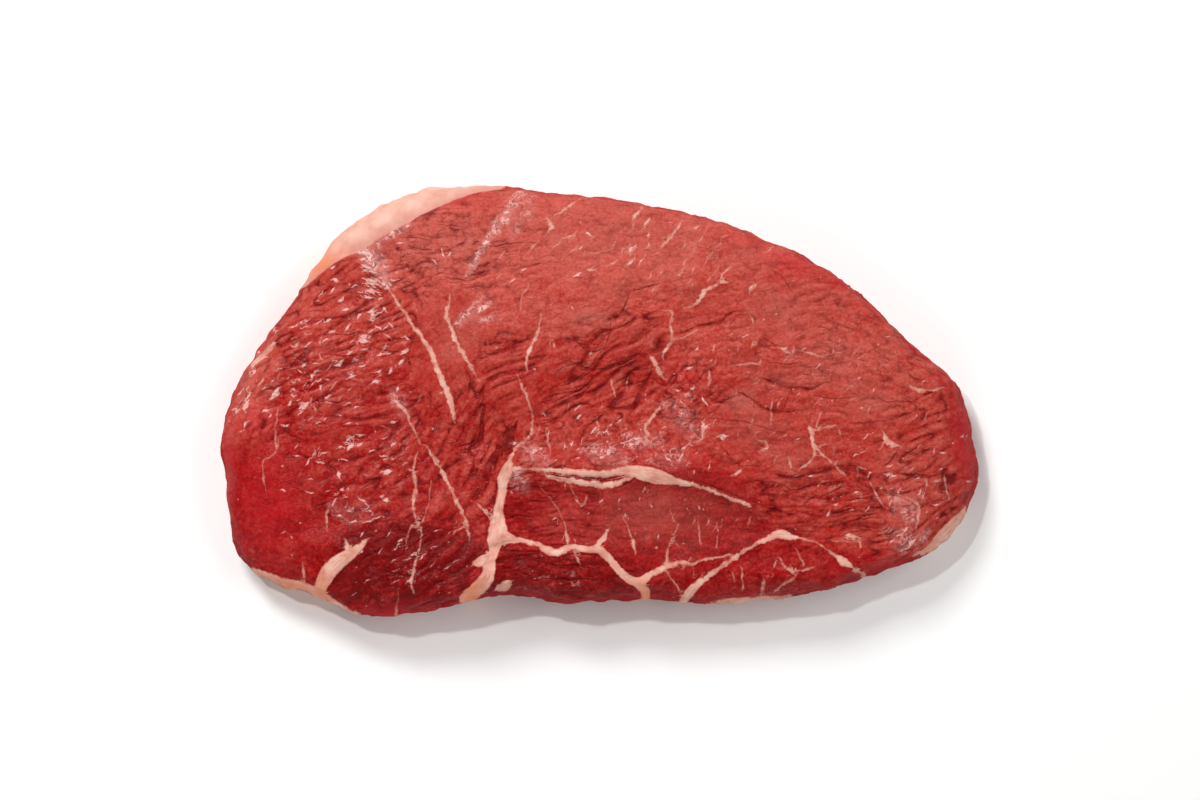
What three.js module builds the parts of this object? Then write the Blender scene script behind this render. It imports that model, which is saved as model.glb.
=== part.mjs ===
// A raw sirloin steak lying flat on a table: one slab cut across the grain, with several muscles
// grown together in one piece. It is worked out as a ball pressed flat: the upper part of a finely
// divided ball becomes the cut face, a belt below it becomes the rim, and the rest the underside.
// The face is then given its swells, furrows and ridges of fat.
// Millimetres, +Z up, the table at z = 0, +X along the steak, the origin under its middle.
import * as THREE from "three";
import { ImprovedNoise } from "three/addons/math/ImprovedNoise.js";
import { mergeVertices } from "three/addons/utils/BufferGeometryUtils.js";

const LENGTH = 189.5;
const WIDTH = 107.5;
const FACE_LEVEL = 20; // of the cut face's middle; its swells reach 22
const END_TAPER = 2.6; // how much lower the face lies at its two ends

const FINENESS = 22; // divisions of each of the ball's twenty faces, less one
const FACE_SHARE = 0.62; // of the ball's surface that becomes the cut face
const RIM_SHARE = 0.21; // of it that becomes the rim

const TOP_ROUNDING = { width: 5, drop: 6.5 }; // of the upper edge, where it is narrowest
const FOOT_ROUNDING = { width: 4.5, rise: 4.5 }; // of the lower edge
const UNDERCUT = 1.4; // how far the foot of the rim lies inside its widest line

// The outline seen from above, from the left end over the far side to the right end and back.
const OUTLINE = [
  [-94.5, -8],
  [-92, 2],
  [-75.5, 27.5],
  [-67, 40],
  [-56, 48.4],
  [-44, 53.3],
  [-30, 54],
  [-14, 52.3],
  [8, 50],
  [27, 45.6],
  [50, 36.4],
  [67, 25.4],
  [78, 13.5],
  [89.5, 4],
  [93, -7],
  [94.6, -17],
  [92, -27],
  [82, -38.4],
  [68.5, -43],
  [57, -47.4],
  [40, -49.4],
  [22, -50.8],
  [10, -49.3],
  [1, -49.9],
  [-9, -50.9],
  [-19, -48.8],
  [-30, -49.4],
  [-42, -52.6],
  [-57, -53.6],
  [-70, -49.4],
  [-85.5, -43.4],
  [-91.4, -36],
  [-93.9, -22],
];

// Where the upper edge rounds off more broadly: the smooth flank at the near left, the left and
// right ends, and the cap of fat at the far left. Bearings and spreads are in degrees, from +X.
const BROAD_EDGES = [
  { bearing: 205, spread: 17, width: 21, drop: 4 },
  { bearing: 167, spread: 14, width: 6, drop: 1.5 },
  { bearing: 126, spread: 14, width: 2.5, drop: 1.5 },
  { bearing: 350, spread: 17, width: 9, drop: 3.5 },
  { bearing: 303, spread: 15, width: 3, drop: 1.5 },
];

// Broad swells of the cut face, and dips where the rise is below zero.
const SWELLS = [
  { at: [12, 24], reach: [50, 17], rise: 1.1 },
  { at: [-62, 4], reach: [20, 26], rise: 1.3 },
  { at: [56, -14], reach: [24, 18], rise: 0.9 },
  { at: [10, -30], reach: [30, 9], rise: -1.6 },
  { at: [-27, -11], reach: [7, 9], rise: -2 },
  { at: [14, 0], reach: [26, 7], rise: -0.9 },
  { at: [-44, -38], reach: [12, 10], rise: 0.9 },
];

// Where muscles meet: furrows sink (rise below zero) and ridges of fat stand proud.
const SEAMS = [
  { route: [[-53, 33], [-45, 17], [-38, 0], [-33, -14], [-30, -32]], width: 5, rise: -1.3 },
  { route: [[-30, 33], [-14, 29], [2, 27], [14, 22]], width: 4.5, rise: -0.8 },
  { route: [[-24, -8], [-6, 0], [10, 5], [22, 14], [30, 24]], width: 5, rise: -0.9 },
  { route: [[38, 5], [48, -1], [58, 3]], width: 4, rise: -0.8 },
  { route: [[-21, -17], [-4, -19], [12, -17], [28, -21], [40, -27]], width: 3.6, rise: 1.7 },
  { route: [[-22, -18], [-26, -34], [-33, -49]], width: 4, rise: 1.2 },
  { route: [[-24, -35], [-8, -38], [3, -37], [12, -47]], width: 3, rise: 1 },
  { route: [[12, -46], [23, -41], [34, -38], [48, -33], [62, -42]], width: 3, rise: 0.9 },
  { route: [[-70, -46], [-62, -38]], width: 3.6, rise: 1 },
];

// The face's own unevenness: crags are layers of smooth noise, creases run along its zero lines.
const CRAGS = [
  { size: 15, rise: 0.7 },
  { size: 6.5, rise: 0.55 },
];
const CREASES = { size: 12, depth: 0.8, sharpness: 0.13 };
const FIBRE_STRETCH = 1.7; // crags and creases run longer along X than across it
const RIM_CRAGS = { size: 9, depth: 1.1 };

const noise = new ImprovedNoise();

// A smooth hump: 1 in the middle, a third at a distance of 1, almost nothing at 2.
const hump = (distance) => Math.exp(-1.2 * distance * distance);

// The outline's distance from the middle at a bearing, read off a smooth closed curve.
const corners = OUTLINE.map(([x, y]) => new THREE.Vector3(x, y, 0));
const outlineMarks = new THREE.CatmullRomCurve3(corners, true, "centripetal")
  .getPoints(720)
  .slice(1)
  .map((p) => ({ bearing: Math.atan2(p.y, p.x), distance: Math.hypot(p.x, p.y) }))
  .sort((a, b) => a.bearing - b.bearing);

function outlineAt(bearing) {
  const count = outlineMarks.length;
  const next = Math.max(0, outlineMarks.findIndex((mark) => mark.bearing > bearing));
  const after = outlineMarks[next];
  const before = outlineMarks[(next + count - 1) % count];
  const turnFrom = (start, end) => THREE.MathUtils.euclideanModulo(end - start, 2 * Math.PI);
  const share = turnFrom(before.bearing, bearing) / turnFrom(before.bearing, after.bearing);
  return THREE.MathUtils.lerp(before.distance, after.distance, share);
}

// The width and drop of the upper edge's rounding at a bearing.
function edgeAt(bearing) {
  const edge = { ...TOP_ROUNDING };
  for (const broad of BROAD_EDGES) {
    const turn = THREE.MathUtils.radToDeg(bearing) - broad.bearing;
    const away = THREE.MathUtils.euclideanModulo(turn + 180, 360) - 180;
    const share = hump(away / broad.spread);
    edge.width += share * broad.width;
    edge.drop += share * broad.drop;
  }
  return edge;
}

// How far a place on the cut face lies from a seam's route.
function distanceToRoute(place, route) {
  const stretch = new THREE.Line3();
  const nearest = new THREE.Vector3();
  const distances = route.slice(1).map((end, i) => {
    stretch.start.set(...route[i], 0);
    stretch.end.set(...end, 0);
    return stretch.closestPointToPoint(place, true, nearest).distanceTo(place);
  });
  return Math.min(...distances);
}

// The height of the cut face above the table, the rounding of its edge left aside.
function faceHeight(x, y) {
  const place = new THREE.Vector3(x, y, 0);
  const fibreNoise = (size) => noise.noise(x / (size * FIBRE_STRETCH), y / size, size);
  let height = FACE_LEVEL - END_TAPER * (x / (LENGTH / 2)) ** 2;
  for (const { at, reach, rise } of SWELLS) {
    height += rise * hump(Math.hypot((x - at[0]) / reach[0], (y - at[1]) / reach[1]));
  }
  for (const { route, width, rise } of SEAMS) {
    height += rise * hump(distanceToRoute(place, route) / width);
  }
  for (const { size, rise } of CRAGS) {
    height += rise * fibreNoise(size);
  }
  return height - CREASES.depth * hump(fibreNoise(CREASES.size) / CREASES.sharpness);
}

// A point of the cut face; share runs from 0 in its middle to 1 where the rim begins.
function facePoint(bearing, share) {
  const edge = edgeAt(bearing);
  const outline = outlineAt(bearing);
  const distance = share * (outline - TOP_ROUNDING.width);
  const inside = Math.min((outline - distance) / edge.width, 1);
  const drop = edge.drop * (1 - Math.sqrt(1 - (1 - inside) ** 2));
  const x = distance * Math.cos(bearing);
  const y = distance * Math.sin(bearing);
  return new THREE.Vector3(x, y, faceHeight(x, y) - drop);
}

// A point of the rim; share runs from 0 at its upper row to 1 at its foot. The first third goes
// over the upper edge, the second down the side and the third in under the foot.
function rimPoint(bearing, share) {
  const edge = edgeAt(bearing);
  const overTop = Math.min(3 * share, 1);
  const downSide = THREE.MathUtils.clamp(3 * share - 1, 0, 1);
  const underFoot = (Math.max(3 * share - 2, 0) * Math.PI) / 2;

  const firstTurn = Math.asin(1 - TOP_ROUNDING.width / edge.width);
  const turn = THREE.MathUtils.lerp(firstTurn, Math.PI / 2, overTop);
  let distance = outlineAt(bearing) - edge.width * (1 - Math.sin(turn));
  const upper = faceHeight(distance * Math.cos(bearing), distance * Math.sin(bearing));
  const shoulder = upper - edge.drop * (1 - Math.cos(turn));
  const foot = FOOT_ROUNDING.rise * (1 - Math.sin(underFoot));
  const height = THREE.MathUtils.lerp(shoulder, foot, downSide);

  distance -= UNDERCUT * downSide ** 2 + FOOT_ROUNDING.width * (1 - Math.cos(underFoot));
  const crag = noise.noise(
    (distance * Math.cos(bearing)) / RIM_CRAGS.size,
    (distance * Math.sin(bearing)) / RIM_CRAGS.size,
    height / RIM_CRAGS.size,
  );
  distance += RIM_CRAGS.depth * Math.sin(Math.PI * share) * crag;
  return new THREE.Vector3(distance * Math.cos(bearing), distance * Math.sin(bearing), height);
}

// A point of the flat underside; share runs from 0 in its middle to 1 at the foot of the rim.
function undersidePoint(bearing, share) {
  const distance = share * (outlineAt(bearing) - UNDERCUT - FOOT_ROUNDING.width);
  return new THREE.Vector3(distance * Math.cos(bearing), distance * Math.sin(bearing), 0);
}

// Where a direction out of the ball's middle ends up on the steak.
function pressFlat(direction) {
  const bearing = Math.atan2(direction.y * WIDTH, direction.x * LENGTH);
  const level = (1 - direction.z) / 2; // the share of the ball's surface that lies above it
  if (level <= FACE_SHARE) {
    return facePoint(bearing, Math.sqrt(level / FACE_SHARE));
  }
  if (level < FACE_SHARE + RIM_SHARE) {
    return rimPoint(bearing, (level - FACE_SHARE) / RIM_SHARE);
  }
  return undersidePoint(bearing, Math.sqrt((1 - level) / (1 - FACE_SHARE - RIM_SHARE)));
}

function makeSteak() {
  const ball = new THREE.IcosahedronGeometry(1, FINENESS);
  ball.deleteAttribute("normal");
  ball.deleteAttribute("uv");
  const shape = mergeVertices(ball);
  const places = shape.getAttribute("position");
  for (let i = 0; i < places.count; i += 1) {
    const direction = new THREE.Vector3().fromBufferAttribute(places, i).normalize();
    places.setXYZ(i, ...pressFlat(direction));
  }
  shape.computeVertexNormals();
  const meat = new THREE.MeshStandardMaterial({ color: 0xa5332f, roughness: 0.35, metalness: 0 });
  const steak = new THREE.Mesh(shape, meat);
  steak.name = "steak";
  return steak;
}

const part = new THREE.Group();
part.add(makeSteak());

export default part;
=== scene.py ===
import math
from functools import partial

import bmesh
import bpy
import numpy as np
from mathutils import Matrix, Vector, noise


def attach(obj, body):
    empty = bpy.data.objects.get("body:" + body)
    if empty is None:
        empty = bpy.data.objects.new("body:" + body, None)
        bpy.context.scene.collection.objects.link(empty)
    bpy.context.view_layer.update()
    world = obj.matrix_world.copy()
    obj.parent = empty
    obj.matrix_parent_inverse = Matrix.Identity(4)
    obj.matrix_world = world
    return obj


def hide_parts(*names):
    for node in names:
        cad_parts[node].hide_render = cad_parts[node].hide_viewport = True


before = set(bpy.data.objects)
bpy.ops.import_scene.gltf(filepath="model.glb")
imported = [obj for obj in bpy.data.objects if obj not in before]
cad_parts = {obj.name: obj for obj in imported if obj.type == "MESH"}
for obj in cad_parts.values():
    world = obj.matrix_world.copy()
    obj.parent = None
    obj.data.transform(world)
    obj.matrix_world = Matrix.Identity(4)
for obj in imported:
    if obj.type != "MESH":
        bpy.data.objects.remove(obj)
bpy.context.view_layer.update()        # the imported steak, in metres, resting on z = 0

mm = 0.001
randomDraw = np.random.default_rng(31)      # every random choice below comes from this one
print("frame loaded")


# Fields of wrinkles on the cut face, in mm and degrees: where each field lies, how far it
# reaches, which way its wrinkles run, their spacing, stretch and height, how crackled it is,
# and its tone from 0, deep red, to 1, pale brick; the fields to the back are paler partly as painted light
# falling from the back
fieldParts = ("at", "reach", "turn", "spacing", "stretch", "height", "crackle", "tone")
wrinkleFields = [dict(zip(fieldParts, row)) for row in [
    ((-63, 18), (13, 12), 20, 2.8, 5, 0.46, 0.15, 0.62),
    # the left shoulder: pale partly as painted light, where it slopes towards the light
    ((-88, 5), (6, 11), 60, 2.8, 4, 0.2, 0.1, 0.9),
    ((-66, -4), (15, 12), 14, 2.8, 6, 0.46, 0.1, 0.41),
    ((-80, -30), (13, 13), 80, 4.0, 2.6, 0.06, 0.0, 0.27),
    ((-54, -18), (10, 9), 25, 3.0, 3.4, 0.46, 0.2, 0.42),
    ((-48, -42), (13, 8), 38, 2.8, 5, 0.5, 0.15, 0.02),
    ((-35, -14), (8, 13), 62, 2.4, 7, 0.44, 0.2, 0.45),
    ((-38, 12), (7, 12), 110, 3.0, 5, 0.14, 0.2, 0.62),
    ((-36, 36), (16, 9), 8, 3.0, 2.6, 0.27, 0.7, 0.93),
    ((8, 40), (34, 10), 5, 3.4, 2.6, 0.17, 0.3, 0.95),
    ((-10, 22), (14, 7), 8, 3.2, 2.6, 0.18, 0.3, 0.8),
    ((-14, 3), (14, 9), 28, 3.4, 6, 0.54, 0.2, 0.51),
    ((4, 8), (12, 9), 32, 4.0, 5, 0.6, 0.2, 0.55),
    ((4, -11), (24, 5), 24, 1.8, 1.6, 0.26, 0.6, 0.64),
    ((24, -1), (7, 7), 40, 1.8, 1.6, 0.28, 0.6, 0.6),
    ((36, 20), (17, 11), 12, 3.0, 3, 0.2, 0.4, 0.73),
    ((62, 12), (14, 11), -8, 2.6, 3, 0.22, 0.5, 0.8),
    ((38, -8), (12, 8), 2, 3.2, 5, 0.2, 0.3, 0.58),
    ((60, -8), (12, 8), 4, 2.8, 5, 0.2, 0.4, 0.64),
    ((58, -25), (17, 7), 4, 2.2, 6, 0.34, 0.5, 0.54),
    ((80, -22), (10, 14), 22, 2.3, 5, 0.44, 0.35, 0.6),
    ((92, -9), (4, 11), 80, 4.0, 2.6, 0.05, 0.0, 0.36),
    ((-10, -29), (12, 7), -3, 2.4, 4, 0.28, 0.2, 0.29),
    ((20, -30), (17, 9), 10, 3.0, 3, 0.14, 0.3, 0.2),
    ((-8, -46), (14, 5), -8, 2.4, 4, 0.36, 0.3, 0.08),
    ((42, -45), (18, 5), 6, 3.0, 2.6, 0.14, 0.15, 0.28),
]]

# Fat between the muscles: how far each seam stands proud, and its line as x, y and width in mm
fatSeams = [
    (0.25, [(-26, 58.2, 11.4), (-33.6, 56.4, 12), (-41, 53.8, 12), (-46.4, 51.2, 12), (-52, 48, 12),
            (-57.5, 45, 12), (-62, 42, 12), (-66.5, 40, 12), (-72, 36.5, 12), (-76, 33, 11)]),
    # the long line in the left muscle
    (0.2, [(-53.1, 27.9, 0.4), (-47.7, 19.7, 0.7), (-42.5, 12.3, 1.1), (-39.5, 5.1, 1.3),
           (-37, -1.1, 1.4), (-35.8, -5.9, 0.4)]),
    # round the inner muscle: its left side
    (0.14, [(-16.8, -3.6, 0.3), (-17, -9.1, 0.5), (-20.2, -12.1, 0.7), (-22, -15.5, 1.1),
            (-22.9, -18.6, 2.9), (-23.9, -20.8, 3), (-24, -23, 2.3), (-24.9, -27.5, 2.3),
            (-25.1, -31, 3.6), (-25.1, -33.7, 4.9), (-25.7, -35.9, 4), (-26.1, -38.4, 2.2),
            (-27, -40.8, 2.9), (-27.4, -43.4, 2.9), (-28.4, -45.8, 3.4), (-33, -50, 3.4)]),
    # the fold over it, and the fold's lower lip
    (0.15, [(-21.6, -17.9, 0.7), (-18.6, -18.1, 0.6), (-15.1, -18.2, 0.8), (-9.8, -18.6, 1.2),
            (-3.2, -19.2, 1.6), (1.2, -19.4, 1.7), (4.8, -18.6, 1.8), (8.7, -18.7, 2.9),
            (14, -20, 3.6), (18.1, -20.9, 2), (22.2, -21.8, 1), (26.3, -23, 0.9),
            (31, -24.8, 0.8), (36.5, -26.9, 0.8)]),
    (0.15, [(-13.6, -19.5, 0.5), (-12, -19.9, 0.8), (-7.6, -20.8, 1.1), (-3.2, -21.6, 1.3),
            (1.2, -22, 1.4), (4, -21.6, 1.3), (6, -20.8, 1.1), (7.6, -20, 0.8)]),
    # under it, from the left side to the right end
    (0.12, [(-24.8, -34.2, 4.4), (-22.8, -35, 2.8), (-20.6, -35.5, 1.6), (-18.6, -35.9, 1.3),
            (-15.1, -36.7, 1.1),
            (-13.3, -37.8, 1.9), (-10.7, -38.7, 1.6), (-8.5, -37.7, 1.6), (-6.3, -37.1, 1.4),
            (-3.2, -37.8, 1.7), (-0.5, -37.9, 1.8), (0.8, -38.8, 1.9), (3, -41, 1.8),
            (5.6, -44, 1.8), (8.3, -45.7, 2), (10.1, -45.8, 2.4), (11.8, -44.3, 1.7),
            (14.5, -42.9, 1.4), (17.1, -41.7, 1.2), (20.2, -41.1, 0.8), (22.8, -41.4, 0.7),
            (25, -40.6, 0.7), (28.6, -39.7, 0.5), (32.1, -39.1, 0.4)]),
    (0.12, [(-1, -37.2, 1.6), (0.8, -35, 1.3), (1.9, -33.2, 0.6)]),
    (0.1, [(9.4, -46.2, 2.2), (10.9, -47.8, 2), (11.6, -50.4, 1.8)]),
    (0.12, [(20.4, -50.6, 2.4), (21.8, -48.4, 2.1), (25.6, -45, 1.4), (29.8, -42, 1),
            (33.9, -39.2, 0.9), (38.1, -36.6, 1), (42.4, -34.5, 1.6), (44.6, -34.1, 2.4),
            (47.5, -34.8, 1.1), (50.9, -35.4, 0.4), (53.9, -36.5, 0.35), (57.3, -39.1, 0.7),
            (59.6, -40.5, 1.9), (62, -42.1, 0.9), (65.4, -43.8, 0.8)]),
    # the patch of fat at the near left corner, with its spur, and strips along the rim
    (0.22, [(-69.6, -48.4, 2.6), (-68.4, -45.8, 3.4), (-66.7, -43, 3.9), (-64.6, -41, 3.7),
            (-62.1, -39.4, 3), (-60.1, -38, 2), (-58.1, -36.2, 1.1), (-56.8, -35.2, 0.4)]),
    (0.1, [(-61.6, -38.4, 1.5), (-62.8, -35.6, 0.6)]),
    (0.1, [(-87, -42.4, 1), (-83, -44, 1.8), (-78, -45.8, 2), (-73, -46.8, 2.2),
           (-69.6, -48.6, 2.4), (-66, -50.8, 2.2), (-62, -52.6, 1.8), (-58.5, -53.8, 1)]),
    (0.1, [(91, -26.6, 0.8), (90, -29, 2.4), (88.2, -31, 3), (86.2, -33, 3), (84.2, -35, 2.6),
           (82, -36.8, 1.8), (79.8, -38.2, 1.2), (77.6, -39, 0.6)]),
    (0.1, [(25, -50.9, 0.8), (33, -50.4, 2), (40, -50.2, 2.2), (47, -49.4, 1.2)]),
    (0.1, [(-86.5, 8.3, 1), (-84.6, 10, 1.3), (-81, 13.2, 0.9)]),
    (0.3, [(-30.2, -41.3, 2), (-28.8, -40.6, 2.8), (-27.6, -39.9, 2)]),
    (0.3, [(-25, -47.4, 1.2), (-23.2, -46.6, 2.2), (-21.9, -45.8, 1)]),
]

# Threads of fat in the muscles, as x, y and width in mm
threadWidth = 0.8       # share of the widths below
fatThreads = [
    [(-79.7, -2.5, 0.3), (-80.2, -7.6, 0.4), (-80.3, -13.7, 0.4), (-82, -15.4, 0.5), (-84.6, -15, 0.3)],
    [(-83.6, -15.6, 0.5), (-83.2, -19.8, 0.4), (-82.8, -23, 0.3)],
    [(-66.9, -26.6, 0.3), (-67.5, -29.4, 0.6), (-67.2, -32.8, 0.3)],
    [(-73.3, -41, 0.3), (-73.2, -43.4, 0.7), (-73, -46.4, 0.6)],
    [(-41.6, -21.2, 0.3), (-42.2, -26.4, 0.35), (-43.4, -30.4, 0.5), (-45.4, -32.6, 0.4)],
    [(-49.4, -48.4, 0.15), (-49.8, -50.6, 0.3), (-50.4, -53, 0.8)],
    [(-51.5, 1.1, 0.3), (-50, -1.8, 0.8), (-48.5, -3, 0.7), (-46.4, -7.1, 0.7), (-44.4, -11.6, 0.5)],
    [(-45.2, -14.2, 0.4), (-45.9, -18, 0.8), (-45.4, -21.2, 0.9), (-45.9, -26.3, 0.8), (-45.4, -30.9, 0.8)],
    [(-45.4, -30.9, 0.7), (-46.9, -33.4, 0.4), (-47.6, -36.6, 0.2)],
    [(-45.4, -30.9, 0.7), (-43.9, -33.4, 0.5), (-44.7, -39.5, 0.6), (-46.2, -44.6, 0.9), (-45.7, -48.2, 0.5)],
    [(-43, -12.1, 0.4), (-40.5, -16.2, 1), (-37.9, -20.3, 1.1), (-36.4, -23.7, 0.8),
     (-33.8, -28.9, 1), (-32.6, -32.4, 0.9), (-32.1, -35.4, 0.3)],
    [(-36, -33.8, 0.3), (-34.4, -32.6, 0.6), (-32.9, -31.8, 0.6)],
    [(-31.4, -25.8, 0.3), (-28.4, -28, 0.7), (-26.4, -30.6, 1)],
    [(-37.3, 24.9, 0.6), (-38, 20.1, 1), (-36.7, 16.5, 1.3), (-34.9, 12.3, 1.2), (-32.2, 8, 0.9),
     (-29.9, 3.8, 0.5)],
    [(-14.6, 20.2, 0.3), (-15.8, 14.7, 0.8), (-18.1, 9.9, 0.9), (-18, 6.3, 0.3)],
    [(-20.5, 5.1, 0.3), (-18.4, 0.8, 0.8), (-16.9, -3.4, 0.5)],
    [(-12.4, 15.2, 0.4), (-10.9, 11.7, 0.3)],
    [(-17.8, 27.4, 0.6), (-19.3, 24.9, 0.5), (-19.6, 21.3, 0.4)],
    [(-12.9, 44, 1), (-12.1, 42.4, 1.6), (-12.6, 41.6, 0.8)],
    [(-5, 49.6, 0.6), (-8.2, 47.2, 0.9), (-11.2, 45.4, 0.5)],
    [(2.9, 36.6, 0.4), (-2.8, 35.4, 0.3)],
    [(10.4, 47.5, 0.6), (8.1, 44.3, 0.9)],
    [(12.3, 44.3, 0.5), (10.9, 42.3, 0.5)],
    [(9, 37.3, 0.7), (7.7, 35.6, 0.5)],
    [(8.5, 33.8, 0.5), (7.2, 32.8, 0.4)],
    [(20.3, 43.8, 0.5), (18.5, 40.9, 0.9), (15.2, 37.5, 0.5)],
    [(26.9, 42.8, 0.4), (24.8, 39, 0.6)],
    [(20.8, 31.4, 0.5), (19.4, 30.2, 0.7)],
    [(32.6, 32.3, 0.4), (30.3, 30.4, 0.6), (29.4, 28.1, 0.9), (25.9, 26.1, 1.1), (24.2, 23.4, 1),
     (20.7, 21.9, 0.4)],
    [(32.1, 28.6, 0.4), (29.4, 28.3, 0.9)],
    [(15.6, 21.4, 0.4), (17.8, 20.9, 0.8), (17.5, 17.2, 0.9), (17.6, 13.8, 0.9), (15.8, 11, 1.1),
     (15.6, 9.5, 0.4)],
    [(18, 14, 0.5), (21.2, 15, 0.6), (24.2, 16.7, 0.3)],
    [(12.8, 9.5, 0.8), (14.7, 6.3, 1), (16, 4.6, 0.6)],
    [(26.9, 6.3, 0.5), (27.2, 4.3, 0.8), (26.4, 2.6, 0.3)],
    [(2.9, 3.8, 0.6), (3.6, 0.6, 0.4)],
    [(14.5, -3.1, 0.6), (12.7, -5.3, 1), (11.1, -7.6, 0.9), (11.8, -9.8, 0.6), (8.6, -11.4, 0.4)],
    [(-13.3, -8.3, 0.4), (-12.8, -11.1, 0.8), (-12.2, -13.8, 0.4)],
    [(-16, -8.7, 0.4), (-19, -11.6, 0.8)],
    [(-14.6, -22.6, 0.15), (-10.6, -27.4, 0.25), (-8.6, -32, 0.4), (-8, -35.6, 1.2)],
    [(-7.2, -22.6, 0.2), (-4.4, -27, 0.4), (-3.2, -24.7, 0.3)],
    [(5.7, -29.7, 0.15), (7.7, -34.6, 0.5), (8, -36, 1), (8.6, -38.6, 0.4)],
    [(-6.3, -38.2, 0.8), (-4.9, -41.6, 0.4)],
    [(19.4, -31.7, 0.3), (18.4, -33.7, 0.4), (16.7, -37.6, 0.7), (16.2, -41.6, 1)],
    [(16.2, -43, 0.4), (20.2, -48.8, 0.4)],
    [(24.2, -31.4, 0.3), (24.6, -35.9, 0.4)],
    [(29, -34.6, 0.3), (28.6, -37.1, 0.3)],
    [(34.7, -42.6, 0.5), (35.2, -47, 0.6)],
    [(44.1, -40, 0.4), (45.4, -42.1, 0.6), (47.4, -43.3, 0.9), (47.9, -44.6, 0.6), (45.8, -45.7, 0.6),
     (43.2, -47.8, 0.7)],
    [(47.4, -43.3, 0.6), (52.6, -42.1, 0.3)],
    [(48.3, -37.8, 0.3), (50, -41.4, 0.4)],
    [(40.2, -45.5, 0.6), (39.8, -47.6, 0.8)],
    [(51.7, -8.1, 1.1), (52.1, -10.5, 0.9), (52.5, -12.5, 1), (52.7, -14.8, 0.6), (50.9, -16.8, 0.6),
     (48.8, -18.2, 0.3)],
    [(52.6, -12.2, 0.7), (56.4, -16, 0.55), (60.2, -19.5, 0.5)],
    [(52, -8.8, 0.8), (55.1, -7.9, 0.5), (57.7, -7.3, 0.8)],
    [(53.3, -7.2, 0.5), (54.5, -4.1, 0.3)],
    [(70, -9.1, 0.5), (70.6, -10.7, 1.6), (73.8, -12.5, 0.4)],
    [(70.6, -10.7, 0.9), (69.1, -13, 0.3)],
    [(76.4, 3.2, 0.4), (78, 1.9, 0.9), (81.1, 1.5, 0.8), (84.9, 2.3, 0.5)],
    [(39.4, -10.9, 0.5), (40.9, -11.3, 0.7), (41.3, -12.7, 0.8), (39.9, -13.3, 0.5)],
    [(46.6, -15.6, 0.6), (46.9, -17, 0.9)],
    [(32.1, -19.7, 0.4), (33.8, -19.2, 0.9), (35.1, -18, 0.4)],
    [(66.6, -21.4, 0.4), (68, -24.2, 0.7), (69.6, -26.7, 0.3)],
    [(75.6, -25, 0.3), (78.5, -26.7, 0.9), (78.5, -29.2, 0.8), (78, -32.3, 0.8)],
    [(85.3, -19.8, 0.5), (86.2, -24.9, 0.4)],
    [(61.1, -34.4, 0.8), (63.7, -34.8, 0.7), (64.1, -36.9, 0.5)],
    [(57.7, -35.6, 0.4), (63.5, -35.9, 0.5)],
    [(63.8, -17.4, 0.7), (65, -17.9, 0.6)],
    [(42.9, -0.4, 0.3), (42.2, -2.4, 0.6), (42.5, -4.6, 0.6), (42.1, -7, 0.3)],
    [(32, 7.6, 0.2), (35, 8, 0.4), (37.4, 8.3, 0.6), (39.4, 7.9, 0.3)],
    [(49.2, 11.3, 0.2), (51.6, 10.8, 0.4), (54.2, 10, 0.8), (55.8, 10.1, 0.3)],
    [(44.2, 12.1, 0.5), (45.8, 11.3, 0.9), (46.9, 10.9, 0.4)],
    [(37.2, 25.8, 0.4), (37.9, 27.2, 0.8), (38.7, 28.1, 0.3)],
    [(28.9, -10.2, 0.4), (30.2, -10.1, 0.8), (31.6, -9.9, 0.3)],
    [(26.8, -6.9, 0.5), (25.6, -7.8, 0.9), (25.4, -9.9, 0.6)],
    [(58.8, -7.9, 0.3), (59.4, -9.2, 0.5)],
    [(37.2, 19.8, 0.3), (37.8, 18.7, 0.6)],
    [(28.3, 12.4, 0.4), (27.9, 11.2, 0.6)],
    [(4.1, 39.5, 0.3), (3.3, 38, 0.4), (2.6, 36.4, 0.4)],
    [(21.4, 33.9, 0.4), (20.8, 32.9, 0.4)],
    [(13.9, 27.2, 0.2), (13.2, 26.6, 0.5)],
]

# Marbling too small to be named: short threads strewn by a seeded draw. Each row says where an area
# lies, its reach and the count of its threads, and the least and most of their turn in degrees, and
# of their length and width in mm
strewnThreads = [
    ((12, 36), (32, 8), 46, (15, 80), (0.8, 3.2), (0.2, 0.46)),
    ((48, -2), (26, 16), 50, (5, 95), (0.8, 2.8), (0.18, 0.4)),
    ((-62, -2), (14, 18), 18, (40, 110), (1, 3), (0.22, 0.45)),
    ((-4, 0), (18, 14), 12, (40, 110), (1, 2.6), (0.22, 0.4)),
    ((10, -32), (22, 5), 8, (60, 115), (1, 3), (0.2, 0.36)),
    ((34, -44), (16, 3), 8, (50, 120), (1, 3), (0.25, 0.45)),
]

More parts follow.
